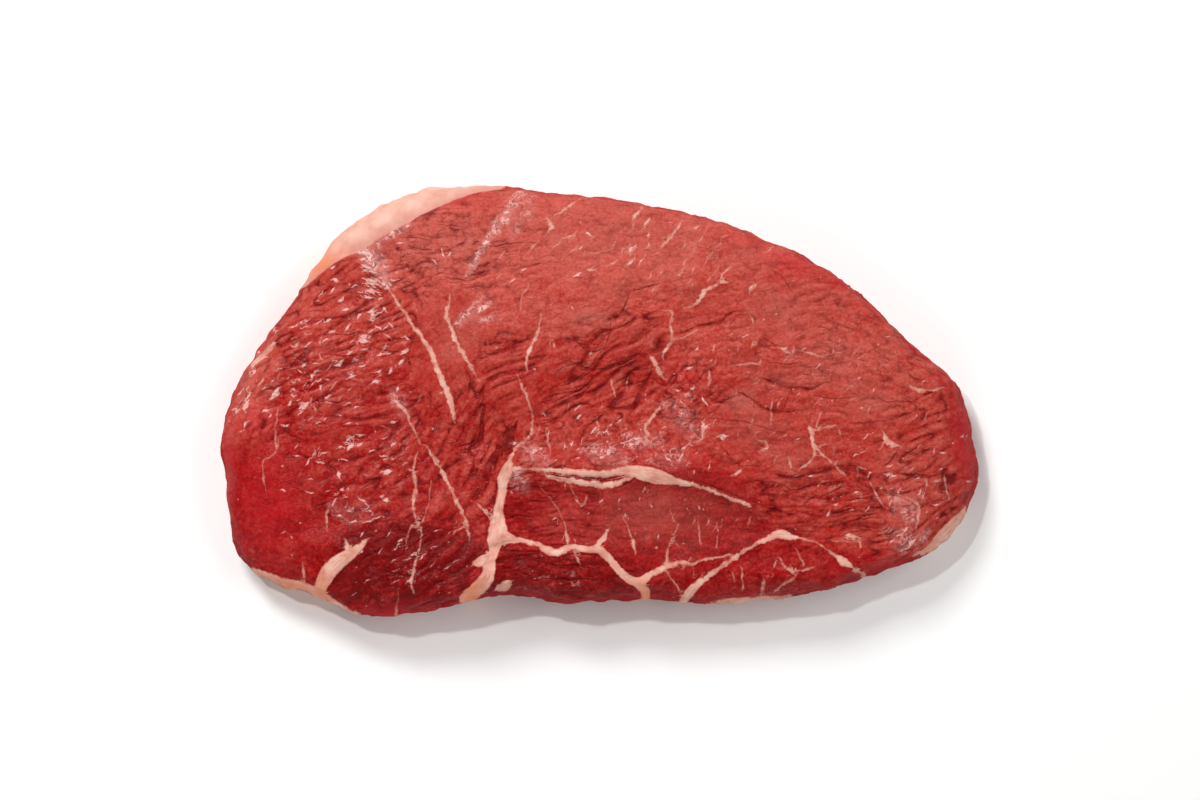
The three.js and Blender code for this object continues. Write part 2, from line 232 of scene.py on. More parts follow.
# Open creases between bundles of fibre: depth and half width, then x and y, in mm
creases = [
    (0.9, 0.5, [(-34.6, 29.1), (-30.5, 30.6), (-26.9, 31.6)]),
    (0.6, 0.45, [(-20.5, 32.1), (-14.3, 33.1)]),
    (0.5, 0.45, [(7.4, 25.9), (5.9, 21.7), (4.2, 19.7), (2.5, 19.9)]),
    (0.3, 0.35, [(15.6, 28.2), (7.8, 26.1)]),
    (0.8, 0.55, [(37.3, 21.4), (32.6, 20.9), (29.3, 18.6), (24.1, 17.6), (20.3, 15.8)]),
    (1.2, 0.7, [(13.3, 8.1), (12.3, 4.8), (10.4, 2), (8.1, -2.3), (4.3, -2.8), (1, -2.3)]),
    (1.0, 0.6, [(10.4, 10.5), (5.7, 8.1), (0.5, 6.3), (-3.7, 2.4), (-9.9, -0.9)]),
    (0.4, 0.4, [(-6.2, 13.8), (-2.3, 11), (2, 12)]),
    (0.8, 0.55, [(-15.1, -7.1), (-10.2, -4.9), (-4.9, -1.8), (-1.5, -2.2)]),
    (1.1, 0.6, [(39.3, 4.6), (43, 3.4), (46.8, 2.2), (50, 2.1), (52.6, 1.8), (54.2, 2.8), (56.6, 3.5)]),
    (0.8, 0.5, [(30.7, 3.4), (35.5, 0.6), (38, -0.9), (41.1, -2.8), (44, -3.6), (47, -3.7), (50.6, -3.2)]),
    (0.8, 0.5, [(25.4, 1.8), (26.6, 0), (28.4, -1.1), (30.2, -1.2), (32, -0.3), (35, 0.3)]),
    (0.5, 0.35, [(46.8, 2), (46.6, 0.4), (45.9, -1.6), (45.5, -3.4)]),
    (0.4, 0.35, [(42.4, 31.8), (44.8, 30.2), (46.2, 28.4), (47.2, 26.6)]),
    (0.35, 0.3, [(57.4, 18.6), (58.6, 17), (60.6, 16.2)]),
    (0.35, 0.3, [(40.6, 14.9), (42.3, 13.3), (44.4, 12.6)]),
    (0.9, 0.45, [(39.3, -11.9), (40, -12.2), (40.6, -12.5)]),
    (0.9, 1.0, [(-20.2, -5.5), (-21.6, -8.6), (-22.4, -11.6), (-23.2, -14.4), (-24.4, -16.4)]),
    (0.8, 0.9, [(-22.4, -6.2), (-23.6, -9.4), (-24.6, -12.6), (-26.2, -15.8), (-28.4, -19.6)]),
    (0.7, 0.5, [(71.7, -34.4), (70.4, -37)]),
    (0.7, 0.5, [(37.7, -25.9), (40.7, -27.6), (44.5, -28.6), (48.8, -29.7)]),
    (0.5, 0.4, [(-70.1, -0.9), (-64.5, -1.5), (-58.5, 0.1)]),
    (0.8, 0.7, [(-28.9, -4), (-29.4, -9.5), (-31.4, -12.5), (-34, -13.1)]),
    (0.8, 0.7, [(-24.8, -8.6), (-25.3, -12.5), (-28.3, -17.2), (-28.9, -19.7)]),
    (0.7, 0.4, [(4.4, -22.3), (6.4, -21.8), (8.2, -20.6), (9, -20.3)]),
    (0.5, 0.34, [(-14, -19), (-9.8, -19.7), (-3.2, -20.45), (1.2, -20.75), (4.2, -20.1), (6.4, -19.6)]),
    (0.3, 0.3, [(23, -20.9), (26.6, -22.1), (31, -23.7), (34.8, -25.1), (37.6, -26)]),
    (1.0, 0.8, [(-54.4, -18), (-52.4, -17.4), (-50.6, -18.2)]),
    # the folds of the middle
    (0.8, 0.5, [(-0.3, 5.4), (-3.2, 1.5), (-7.6, -1.3), (-11.1, -2.7), (-14.6, -4.7)]),
    (0.7, 0.45, [(-9.9, 9.1), (-6.1, 8.1), (-2.8, 6.9), (0.5, 6.7), (3.8, 7.9), (9, 10), (11, 12.6)]),
    (0.6, 0.45, [(12.9, 4.4), (9.2, 3.5), (5.6, 2.6), (3.7, 1.8)]),
    (0.6, 0.4, [(12.7, 7.1), (8.3, 6.2), (6.5, 4.9), (3.9, 3.3)]),
    (0.6, 0.4, [(-12.4, 1.8), (-7.6, 3.3), (-4.9, 4.9), (-2.5, 6.9)]),
    (0.3, 0.3, [(-12, 13.3), (-8.9, 14.1), (-4.9, 13.8), (-1.9, 13.1), (1.2, 11.9)]),
    (0.25, 0.25, [(7.9, 22.1), (11.4, 19.9), (12.7, 17.3)]),
    (0.35, 0.3, [(2.8, 18.2), (2.2, 15), (1.3, 12)]),
    (0.6, 0.45, [(-4.5, -8), (-2.3, -6.7), (0.4, -4.9), (2.1, -2.7)]),
    (0.35, 0.3, [(-5.8, -12.9), (-4.5, -10.2), (-3.2, -8)]),
    (0.6, 0.6, [(-28.7, -22.2), (-27, -18.2), (-25.9, -14.6)]),
    (0.45, 0.4, [(-29.6, 0.9), (-27, 1.8), (-23.9, 3.1), (-20.8, 4), (-17.7, 4.9)]),
    (0.4, 0.35, [(-29.6, 11.1), (-27, 10.4), (-23.9, 11.1), (-21.3, 11.9)]),
    (0.35, 0.3, [(-27, 4.9), (-24.3, 5.7), (-21.3, 5.5), (-19, 6.2)]),
    (0.35, 0.3, [(-24.8, 15), (-22.1, 13.5), (-19, 13.3)]),
    (0.5, 0.4, [(-10.7, 6.2), (-7.6, 7.5), (-4.9, 8.3), (-2.3, 8.9)]),
    (0.5, 0.4, [(-14.2, -0.7), (-11.1, 0.4), (-7.6, 1.1), (-4.9, 1.8)]),
    (0.5, 0.4, [(-16.4, -2.7), (-13.8, -1.3), (-12, -0.9)]),
    (0.4, 0.35, [(11.8, 15.9), (10.3, 11.9)]),
    (0.5, 0.4, [(12.7, 5.3), (14.5, 3.5), (16.2, 2.6)]),
    (0.4, 0.35, [(18.4, -1.8), (20.2, -2.7), (22.4, -3.1)]),
    (0.35, 0.3, [(19.8, -5.1), (22.4, -5.6), (25.5, -5.3)]),
    (0.3, 0.3, [(27.2, -5.3), (32.1, -5.8), (36.5, -6.4), (42.4, -8.3), (46.6, -9.2)]),
    (0.3, 0.3, [(29, -10.6), (32.1, -15.1), (35.2, -16.9), (39.5, -17.3)]),
    # the right field
    (0.4, 0.3, [(67.5, 0.9), (70.4, -1.3), (73.8, -1.3), (76.8, -1.5), (78.5, -3.2), (78.9, -5.3),
                (76.8, -6.6)]),
    (0.25, 0.25, [(61.5, -6.6), (64.9, -6.6), (67.9, -6.2), (70.4, -6)]),
    (0.9, 0.65, [(72.1, -18.2), (74.7, -19.2), (77.7, -19.4), (81.5, -19.7), (84.5, -19)]),
    (1.0, 0.7, [(74.3, -13.9), (76.4, -13.9), (78.5, -14.7), (79.8, -13.5), (82.4, -12.6)]),
    (0.6, 0.45, [(69.6, -17.3), (71.5, -16.5), (72.6, -14.7), (73.8, -13)]),
    (0.5, 0.4, [(53.4, -25.4), (56.8, -23.9), (59.4, -22.6), (62.8, -22.4), (65.8, -23.3), (67.9, -22)]),
    (0.4, 0.35, [(50, -27.6), (50.9, -25.9), (53.4, -24.6)]),
    (0.5, 0.4, [(54.7, -26.3), (58.5, -25.9), (62.8, -25.4), (66.2, -25), (70, -24.4), (73.8, -24.6)]),
    (0.5, 0.4, [(56.8, -29.3), (60.2, -28.8), (63.6, -28.4), (67, -28.4), (69.2, -27.1)]),
    (0.45, 0.35, [(59.4, -31.4), (62.8, -30.6), (66.2, -30.1), (69.6, -29.7)]),
    (0.5, 0.4, [(61.9, -33.5), (65.3, -33.1), (68.7, -33.5), (71.3, -32.3)]),
    (0.7, 0.5, [(70.9, -36.1), (72.1, -33.5), (74.7, -32.3)]),
    (0.4, 0.35, [(79, -27.6), (82.3, -25.9), (86.2, -25.4)]),
    (0.35, 0.3, [(30.9, -14.7), (33.5, -16.9), (36.4, -17.3)]),
    (0.35, 0.3, [(39.8, -21.6), (44.1, -21.6), (47.5, -23.3), (50.9, -22.4), (55.1, -21.6), (59.4, -21.2)]),
    # the upper left, under the cap of fat, and the left muscle
    (0.3, 0.35, [(-59.4, 32), (-57, 31.7), (-54.8, 31)]),
    (0.3, 0.35, [(-59.4, 30.5), (-57, 30.2), (-54.4, 29.4)]),
    (0.3, 0.35, [(-59, 28.9), (-56.8, 28.6), (-54, 27.9)]),
    (0.3, 0.35, [(-59, 27.3), (-56.6, 27), (-54, 26.5)]),
    (0.35, 0.35, [(-49.5, 39.9), (-45.4, 39.6), (-42.4, 39)]),
    (0.3, 0.3, [(-41.2, 43.2), (-37.6, 42.6), (-34, 42.6)]),
    (0.3, 0.3, [(-47.7, 37.5), (-44.2, 36.9), (-40, 36.3)]),
    (0.6, 0.45, [(-38.2, 29.7), (-35.2, 29.1), (-31.6, 29.1), (-28, 30.9)]),
    (0.4, 0.35, [(-30.4, 38.1), (-26.8, 37.5), (-23.2, 38.1), (-16, 38.4)]),
    (0.4, 0.4, [(-80.7, 11.7), (-78.3, 13.5), (-74.1, 14.1)]),
    (0.5, 0.4, [(-66.9, 15.9), (-62.7, 15.3), (-59.1, 15.9), (-55.5, 14.7)]),
    (0.4, 0.4, [(-67.5, 10.5), (-62.7, 9.9), (-57.9, 10.5)]),
    (0.4, 0.4, [(-56.7, 12.3), (-51.9, 11.1), (-47.1, 11.7)]),
    (0.4, 0.35, [(-29.2, 3.3), (-28.6, -1.5), (-29.8, -5.8)]),
    (0.35, 0.35, [(-34, 8.1), (-32.2, 4.5), (-33.4, -1.5), (-35.2, -4.5)]),
    # the long folds left of the inner muscle, and the near left
    (0.5, 0.4, [(-33.4, -6.1), (-34.4, -10.1), (-36.9, -11.6), (-39.4, -10.6)]),
    (0.5, 0.45, [(-28.3, -8.1), (-31.3, -11.1), (-35.4, -12.1), (-37.9, -11.6)]),
    (0.9, 0.9, [(-23.8, -12.1), (-26.3, -14.7), (-27.8, -18.2), (-28.8, -22.3), (-30.8, -25.8)]),
    (0.4, 0.35, [(-28.8, 2), (-29.3, -2), (-31.8, -5.1)]),
    (0.5, 0.4, [(-31.8, -15.2), (-31.3, -17.7), (-33.4, -21.3), (-34.4, -23.3)]),
    (0.6, 0.6, [(-50, -31.4), (-49, -33.4), (-45.5, -34.4)]),
    (0.6, 0.6, [(-58.6, -22.8), (-56.5, -21.8), (-54, -19.7)]),
    (0.4, 0.45, [(-71.2, -27.3), (-68.6, -26.8), (-66.6, -25.8)]),
    (0.4, 0.4, [(-78.7, -6.6), (-77.2, -9.1), (-72.7, -11.1)]),
    (0.5, 0.5, [(-41.4, -32.9), (-42.9, -34.4), (-45.5, -36.4), (-48.5, -39), (-51, -40.5)]),
    (0.5, 0.5, [(-53.5, -43), (-49.5, -44), (-45.5, -44.5)]),
    (0.4, 0.4, [(-58.6, -40), (-55.5, -38.5), (-53.5, -37.5)]),
    # the inner muscle and the one below it
    (0.4, 0.4, [(-19.9, -25.5), (-17.3, -25.7), (-14.2, -25.9), (-10.2, -25.7)]),
    (0.5, 0.45, [(-22.6, -29.9), (-19.9, -29.3), (-16.8, -29.9), (-15.1, -30.1)]),
    (0.5, 0.45, [(-21.3, -32.6), (-18.6, -32.8), (-16, -33.5), (-13.8, -33.2)]),
    (0.35, 0.35, [(-14.2, -23.9), (-12, -24.8), (-9.3, -25.3)]),
    (0.35, 0.35, [(-3.2, -31.5), (-1.4, -32.1), (0.8, -31.9)]),
    (0.3, 0.3, [(3.9, -34.6), (6.5, -35.2), (9.2, -35)]),
    (0.4, 0.4, [(-12.9, -31.5), (-11.1, -31.9), (-9.8, -31.9)]),
    (0.45, 0.4, [(-21.7, -39.4), (-18.2, -39.4), (-15.1, -40.1), (-13.8, -39.9)]),
    (0.4, 0.4, [(-24.3, -41.9), (-22.1, -42.5), (-19.5, -43.4), (-17.3, -44.3)]),
    (0.45, 0.45, [(-10.7, -41.7), (-6.7, -41.7), (-3.2, -42.1), (-0.5, -43)]),
    (0.5, 0.5, [(-14.2, -44.8), (-10.7, -45.2), (-6.7, -45.4), (-3.2, -45.2), (0.8, -45.7)]),
    (0.5, 0.5, [(-12.9, -47.9), (-9.8, -48.8), (-6.3, -47.9), (-3.2, -47.9)]),
    # the top
    (0.3, 0.3, [(53, 0.5), (56.3, -0.4), (59.6, -0.4), (62.9, 0)]),
    (0.3, 0.3, [(40.2, 9.1), (43.5, 8.1), (46.8, 8.1), (50.1, 8.3)]),
    (0.3, 0.3, [(39.7, 12.9), (41.6, 11.9), (44.4, 11.4)]),
]

# Pale films of silver skin, and painted sheen where the wet surface shines: how strong each is, and its
# stroke as x, y and width in mm
silverSkinAndSheen = [
    (1.3, [(-19.6, 52, 0.9), (-22.7, 46.2, 1.5), (-26.2, 41.5, 1.4), (-29.4, 36.8, 0.9), (-31.9, 32.1, 0.8),
           (-33, 30, 0.5)]),
    (0.45, [(-17, 50, 1.6), (-19, 45, 2.6), (-22, 40, 1.4)]),
    (1.1, [(-35.5, 18.4, 0.8), (-31.5, 20.6, 1.1), (-27, 23.2, 0.5)]),
    (0.6, [(-35, 18, 1), (-30, 19.4, 1.2), (-24.8, 19, 0.6)]),
    (0.5, [(-35, 19.5, 1), (-31.5, 22.6, 1), (-29, 25, 0.6)]),
    (1.8, [(-61, 36.6, 1.4), (-58.4, 36.4, 2.6), (-56, 33.6, 2.6), (-54, 30.4, 2), (-52.8, 27.8, 1)]),
    (1.1, [(-66, 35.6, 1), (-62.4, 36.8, 1.2), (-57.2, 38.2, 1.8), (-52, 40.8, 1.4), (-47.4, 43, 1)]),
    (0.8, [(-22, -18.8, 1.4), (-20, -20.6, 2.4), (-18.6, -23, 1.4)]),
    (0.5, [(-18.6, -12.6, 2), (-16, -14.6, 3), (-13.4, -16.6, 1.6)]),
    (0.6, [(-3.4, -13.2, 1.4), (1.9, -14.3, 3.4), (6, -15.6, 1.6)]),
    (0.5, [(6.4, -9.6, 1.2), (9.6, -11.2, 2.6), (14.4, -10.8, 1.6)]),
    (0.45, [(12.6, -15.6, 1.4), (17, -15.4, 3.2), (21.4, -16.6, 1.2)]),
    (0.35, [(15.4, -1.8, 1.2), (19.4, -4, 4), (24, -9.4, 2.6)]),
    (0.55, [(70.4, -33.2, 1.2), (74.2, -35, 4), (78, -35.4, 2.6), (80.8, -33.6, 1.2)]),
    (0.45, [(71.4, -24.6, 1.2), (74.6, -27.2, 3.2), (77, -30.4, 1.8)]),
    (0.5, [(-51.4, 1.6, 1), (-50.2, -0.6, 2.2), (-47.6, -4.6, 1.4)]),
    (0.3, [(-66, -26.6, 1.6), (-62, -28.6, 3.4), (-57.4, -27.6, 2.4)]),
]

# Small wet ridges, painted almost white as glints: x, y, length and width in mm, and turn in degrees
glintFlecks = [
    (-87.8, -1.6, 2.4, 0.8, 60), (-80.3, 1.2, 3.4, 1.1, 45), (-73.2, -2.3, 3, 1, 30),
    (-61.2, 4.5, 2.4, 0.8, 20), (-58.5, 13.5, 2.6, 1.2, -5), (-58.8, 11.7, 1.6, 0.6, 0),
    (-68.7, 2.1, 2, 0.5, 80), (-74.1, 6.3, 1.6, 0.5, -40), (-71.1, 5.1, 1.4, 0.5, -50),
    (-75.9, 17.7, 2, 0.5, 35), (-72.9, 18.9, 1.8, 0.5, 30), (-69.9, 18.6, 2, 0.6, 25),
    (-67.5, 18.9, 1.8, 0.6, 40), (-66.3, 26.7, 2, 0.6, 60), (-69.3, 26.1, 1.6, 0.5, 50),
    (-58.6, 25.8, 2.6, 0.6, -10), (-57.4, 32.6, 3.6, 0.9, -14), (-57.2, 31, 4, 0.9, -12),
    (-56.8, 29.4, 4.2, 0.9, -10), (-56.5, 27.8, 4, 0.9, -8), (-56.6, 26.2, 3.6, 0.8, -6),
    (-57.4, 24.7, 3, 0.7, -4), (-56.1, 20.1, 1.6, 0.8, -50), (-53.1, 21.9, 1.8, 0.7, -50),
    (-54.9, 17.1, 2, 0.7, -40), (-51.9, 17.7, 1.8, 0.7, -40), (-52.5, 14.7, 1.8, 0.6, -35),
    (-47.7, 14.7, 1.6, 0.6, -40), (-48.3, 11.1, 2.8, 0.9, 35), (-49.2, 8.7, 1.8, 0.8, 40),
    (-51.9, 6.3, 1.4, 0.6, 60), (-55.5, 3.3, 2.4, 0.6, 20), (-50.1, 1.8, 1.2, 0.8, 80),
    (-50.4, -1, 1.6, 0.7, 0), (-49.8, 38.4, 1.4, 0.6, 0), (-38.9, 35.7, 2.4, 0.5, -60),
    (-37.6, 35.4, 1.8, 0.5, 60), (-41.2, 33.6, 1.8, 0.4, -40), (-24.4, 35.4, 2, 0.5, 50),
    (-21.7, 28.8, 1.8, 0.5, 30), (-19, 31.5, 1.4, 0.5, 30), (-61.6, -12.6, 2.4, 0.9, 50),
    (-63.1, -15.9, 1.8, 0.6, -10), (-64.3, -19.5, 2.4, 0.6, -70), (-63.6, -23.3, 1.2, 0.7, 0),
    (-52.3, -19, 1.8, 1.1, 20), (-51, -6.3, 1.5, 0.7, 10), (-53.5, -7.6, 1.6, 0.5, -10),
    (-62.1, -6.8, 1.6, 0.6, 10), (-59.1, -9.6, 2, 0.6, 0), (-69.6, -6.8, 1.4, 0.6, 20),
    (-51, -12.1, 1.6, 0.6, 40), (-65.6, -26.3, 2, 0.5, 60), (-64.3, -29.4, 1.8, 0.6, -10),
    (-61.6, -28.3, 1.6, 0.5, 0), (-58.6, -25.8, 1.8, 0.7, -40), (-57.5, -26.8, 1.4, 0.6, -50),
    (-61.1, -30.9, 2, 0.5, 0), (-57, -30.9, 2.6, 0.5, 20), (-55.5, -29.9, 1.6, 0.4, 30),
    (-72.2, -16.2, 1.8, 0.5, 60), (-70.6, -14.7, 1.6, 0.4, 60), (-78.2, -23.5, 1.6, 0.5, 0),
    (-78.7, -33.4, 1.8, 0.3, 20), (-45.5, -39, 1.6, 0.7, 40), (-43.9, -39.5, 1.6, 0.6, 60),
    (-58.6, -33.9, 1.6, 0.5, 50), (-54, -38.2, 2, 0.4, 45), (22, 6.9, 1.6, 0.6, 20),
    (22.8, 2.2, 1.4, 0.6, 30), (19.3, 1.8, 1.6, 0.6, 0), (25.9, -0.9, 2.6, 0.6, -60),
    (25.5, -7.5, 1.6, 0.8, 50), (30.3, -10.2, 2, 0.4, 0), (20.2, -4, 1.6, 0.5, -20),
    (20.6, -1.3, 1.4, 0.4, -40), (9.2, -10.6, 2, 0.6, 30), (7.8, -12.4, 2, 0.5, 20),
    (2.1, -13.7, 2.2, 1.1, 70), (0.8, -15.1, 2, 0.8, 40), (-1.4, -8.4, 2.4, 0.6, 35),
    (1.2, -8.9, 1.6, 0.5, 45), (-16.2, -13.7, 1.8, 1, 60), (-21.5, -11.5, 2, 1, 0), (-5.4, -2.7, 2, 0.5, 40),
    (-5.4, -4.9, 1.6, 0.5, 45), (16.7, -15.5, 1.8, 0.6, -40), (19.8, -14.9, 2.6, 0.5, 60),
    (22, -11.5, 1.6, 0.4, 60), (26.8, -17.3, 1.8, 0.5, 80), (78.5, -19.9, 1.4, 0.5, 30),
    (78.5, -23.7, 2, 0.4, 60), (73.9, -34, 2.2, 0.8, 30), (75.6, -33.1, 1.8, 0.6, 20),
    (76.9, -36.6, 3, 0.8, 45), (75.1, -37.8, 1.6, 0.6, 30), (72.1, -35.7, 1.6, 0.5, 30),
    (71.5, -26.3, 1.6, 0.5, 50), (74.7, -28.4, 1.6, 0.4, 20), (80.4, -34.4, 2.6, 0.5, -60),
    (84.5, -17.9, 1.6, 0.4, 25), (82.4, -13.5, 1.2, 0.4, 70), (30.5, -9.8, 1.6, 0.5, 0),
    (11.6, 43.5, 2.2, 0.5, 55), (17, 43.5, 0.8, 0.6, 0), (7.8, 36.6, 2, 0.6, 50), (7.4, 33.3, 1.8, 0.6, 50),
    (10.2, 33.5, 1.4, 0.6, 40), (-5.2, 37.1, 1.6, 0.5, 30), (-2.8, 40.6, 2, 0.5, -50),
    (12.1, 40.2, 1.2, 0.5, 80), (-5.6, 30.2, 1.8, 0.7, 30), (-2.1, 31.4, 1.8, 0.8, 0),
    (-6.8, 21.9, 1.2, 0.5, -60), (23.9, 11.7, 1.2, 0.5, 50), (45.4, 11.7, 1.6, 0.6, -10),
    (37.4, 27.1, 1.6, 0.6, 60),
]
fleckStretch = 1.2      # share of the lengths above
fleckStep = 0.4         # mm between the points of a fleck's line

# and more painted glints, strewn as the marbling is
strewnGlintFlecks = [
    ((-72, 4), (15, 15), 60, (5, 55), (0.9, 2.3), (0.24, 0.56)),
    ((-59, 18), (9, 12), 30, (-20, 50), (0.9, 2.2), (0.3, 0.7)),
    ((-59, -20), (10, 9), 24, (-20, 50), (0.8, 2), (0.22, 0.52)),
    ((8, -11), (18, 4), 44, (0, 80), (0.6, 1.7), (0.24, 0.5)),
    ((72, -22), (16, 10), 44, (0, 60), (0.8, 2), (0.2, 0.42)),
    ((-86, 4), (4, 9), 20, (20, 70), (0.9, 2.4), (0.32, 0.64)),
    ((6, -28), (22, 6), 30, (40, 130), (0.6, 1.4), (0.2, 0.36)),
    ((-46, -40), (12, 7), 26, (10, 60), (0.8, 2), (0.2, 0.4)),
    ((50, 4), (24, 12), 40, (0, 60), (0.6, 1.6), (0.14, 0.28)),
]

# Patches of yellowed fat, and of meat that is dusty, flushed or wet, as x, y, reach along x and
# along y in mm, and strength; the dusty patch on the left shoulder and the flushed ones along the rim are
# partly painted light
amberFat = [(-69, 33, 5, 4, 0.9), (-76, -46.5, 10, 3, 0.5), (-68.6, -48, 3, 3.4, 0.6),
            (81, -37.6, 3, 2, 0.3), (-31.5, -48.4, 3, 3, 0.8), (10.5, -49, 3, 2.5, 0.8), (89, 0, 3, 3, 0.4)]
dustyAndLitMeat = [(-90, 6, 3, 9, 0.8), (-2.5, 19.4, 6, 2.6, 1), (34.5, -1, 4, 3, 0.9), (44, 4, 5, 3, 0.4),
             (38, -7, 8, 5, 0.5), (66.7, -1, 8, 4, 0.6), (45, 22, 8, 6, 0.7), (60, 10, 8, 5, 0.5),
             (48, -16, 7, 5, 0.45), (14, -29, 17, 7, 0.55), (-7, -29, 8, 6, 0.22), (-36, 14, 5, 10, 0.4),
             (8, 42, 20, 4, 0.4), (-36, 36, 14, 7, 0.4), (79, -20, 9, 12, 0.35)]
flushedAndLitMeat = [(38, 40, 9, 3, 0.7), (50, 34, 8, 4, 0.9), (60, 28.6, 6, 2, 0.8), (70, 21.4, 6, 2, 0.8),
               (79, 13.6, 5, 2.4, 0.8), (86, 5, 4, 3, 0.8), (91, -12, 4, 14, 1.0), (92, -22, 3, 7, 0.8),
               (-90, -8, 4, 6, 0.6), (-93, -12, 3, 16, 0.8), (-84, -6, 5, 5, 0.8), (-83, -27, 9, 15, 0.7),
               (-52, -53, 15, 2.6, 1), (12, -47, 3, 3, 0.8), (-30.5, -43, 2, 1.6, 0.8),
               (74, -41, 12, 3, 0.7), (21.5, 4.8, 3.4, 2, 1), (-35, 50, 6, 2.6, 0.7), (10, -14, 20, 3, 0.3),
               (60, -43, 3, 3, 0.8)]
wetMeat = [(-64, -26, 6, 7, 1.0), (-74, 2, 11, 11, 1.0), (-58, 14, 11, 13, 0.9), (-53, 28, 5, 5, 0.9),
           (-50, -16, 8, 9, 0.8), (-17, -12.5, 5, 3, 0.9), (0, -13, 8, 3, 0.9), (17, -13, 7, 4, 0.9),
           (9, -9.5, 5, 3, 0.8), (20, 2, 5, 5, 0.8), (77, -34, 6, 5, 0.9), (-45, -44, 12, 6, 0.55),
           (80, -20, 9, 12, 0.75), (58, -24, 14, 8, 0.5), (-34, 36, 10, 6, 0.4), (-32, -16, 4, 10, 0.5),
           (-8, -46, 18, 7, 0.5), (42, -45, 22, 6, 0.45), (-80, -30, 16, 16, 0.2)]


def smoothLine(points, step=0.8):
    # a curve through the points, as a Catmull-Rom spline, in even steps of about this many mm
    knots = [np.array(p, float) for p in points]
    knots = [2 * knots[0] - knots[1]] + knots + [2 * knots[-1] - knots[-2]]
    out = []
    for a, b, c, d in zip(knots, knots[1:], knots[2:], knots[3:]):
        count = max(1, round(np.hypot(*(c - b)[:2]) / step))
        for t in np.arange(count) / count:
            out.append(0.5 * (2 * b + (c - a) * t + (2 * a - 5 * b + 4 * c - d) * t * t
                              + (3 * b - a - 3 * c + d) * t ** 3))
    out.append(knots[-2])
    return np.array(out)


def alongLine(places, line, reach):
    # for the places near a line: their indices, side (signed distance) and the line's own values there
    low, high = line[:, :2].min(0) - reach, line[:, :2].max(0) + reach
    near = np.flatnonzero(((places > low) & (places < high)).all(1))
    best = np.full(len(near), np.inf)
    side = np.zeros(len(near))
    value = np.zeros((len(near), line.shape[1] - 2))
    for a, b in zip(line, line[1:]):
        run = b[:2] - a[:2]
        offset = places[near] - a[:2]
        t = np.clip(offset @ run / max(run @ run, 1e-9), 0, 1)
        gap = offset - t[:, None] * run
        distance = np.hypot(gap[:, 0], gap[:, 1])
        closer = distance < best
        best = np.where(closer, distance, best)
        turn = np.sign(run[0] * offset[:, 1] - run[1] * offset[:, 0])
        side = np.where(closer, np.where(turn == 0, 1, turn) * distance, side)
        value = np.where(closer[:, None], a[2:] + t[:, None] * (b - a)[2:], value)
    keep = best < reach
    return near[keep], side[keep], value[keep]


def strewThreads(areas):
    # short wavering threads, thinned to their ends and thickest in the middle of each area
    threads = []
    for at, reach, count, turns, lengths, widths in areas:
        for _ in range(count):
            middle = np.clip(randomDraw.normal(size=2), -1.8, 1.8) * reach * 0.7 + at
            length, width = randomDraw.uniform(*lengths), randomDraw.uniform(*widths)
            turn, bend = math.radians(randomDraw.uniform(*turns)), randomDraw.uniform(-0.7, 0.7)
            leans = [(share, turn + bend * share) for share in (-0.5, -0.15, 0.2, 0.5)]
            threads.append([(middle[0] + share * length * math.cos(lean),
                             middle[1] + share * length * math.sin(lean),
                             width * (0.4 if abs(share) == 0.5 else 1)) for share, lean in leans])
    return threads


def creaseLine(halfWidth, points):
    # a crease that thins out to both its ends
    line = smoothLine(points)
    share = np.linspace(0, 1, len(line))
    return np.column_stack([line, 2 * halfWidth * np.sin(math.pi * share) ** 0.6])


def fleckLine(x, y, length, width, turn):
    # a short bent ridge, pointed at both ends
    turn = math.radians(turn)
    run = np.array((math.cos(turn), math.sin(turn))) * length * fleckStretch / 2
    aside = np.array((-run[1], run[0])) * randomDraw.uniform(-0.2, 0.2)
    places = [(x, y) + offset for offset in (-run, aside, run)]
    return smoothLine([(*place, wide) for place, wide in zip(places, (0.1, width, 0.1))], fleckStep)


seamLines = [smoothLine(line) for _, line in fatSeams]
threadLines = [smoothLine(thread) * (1, 1, threadWidth) for thread in fatThreads]
strewnLines = [smoothLine(thread) for thread in strewThreads(strewnThreads)]
creaseLines = [creaseLine(halfWidth, points) for _, halfWidth, points in creases]
fleckLines = [fleckLine(*fleck) for fleck in glintFlecks]
fleckLines += [smoothLine(thread, fleckStep) for thread in strewThreads(strewnGlintFlecks)]


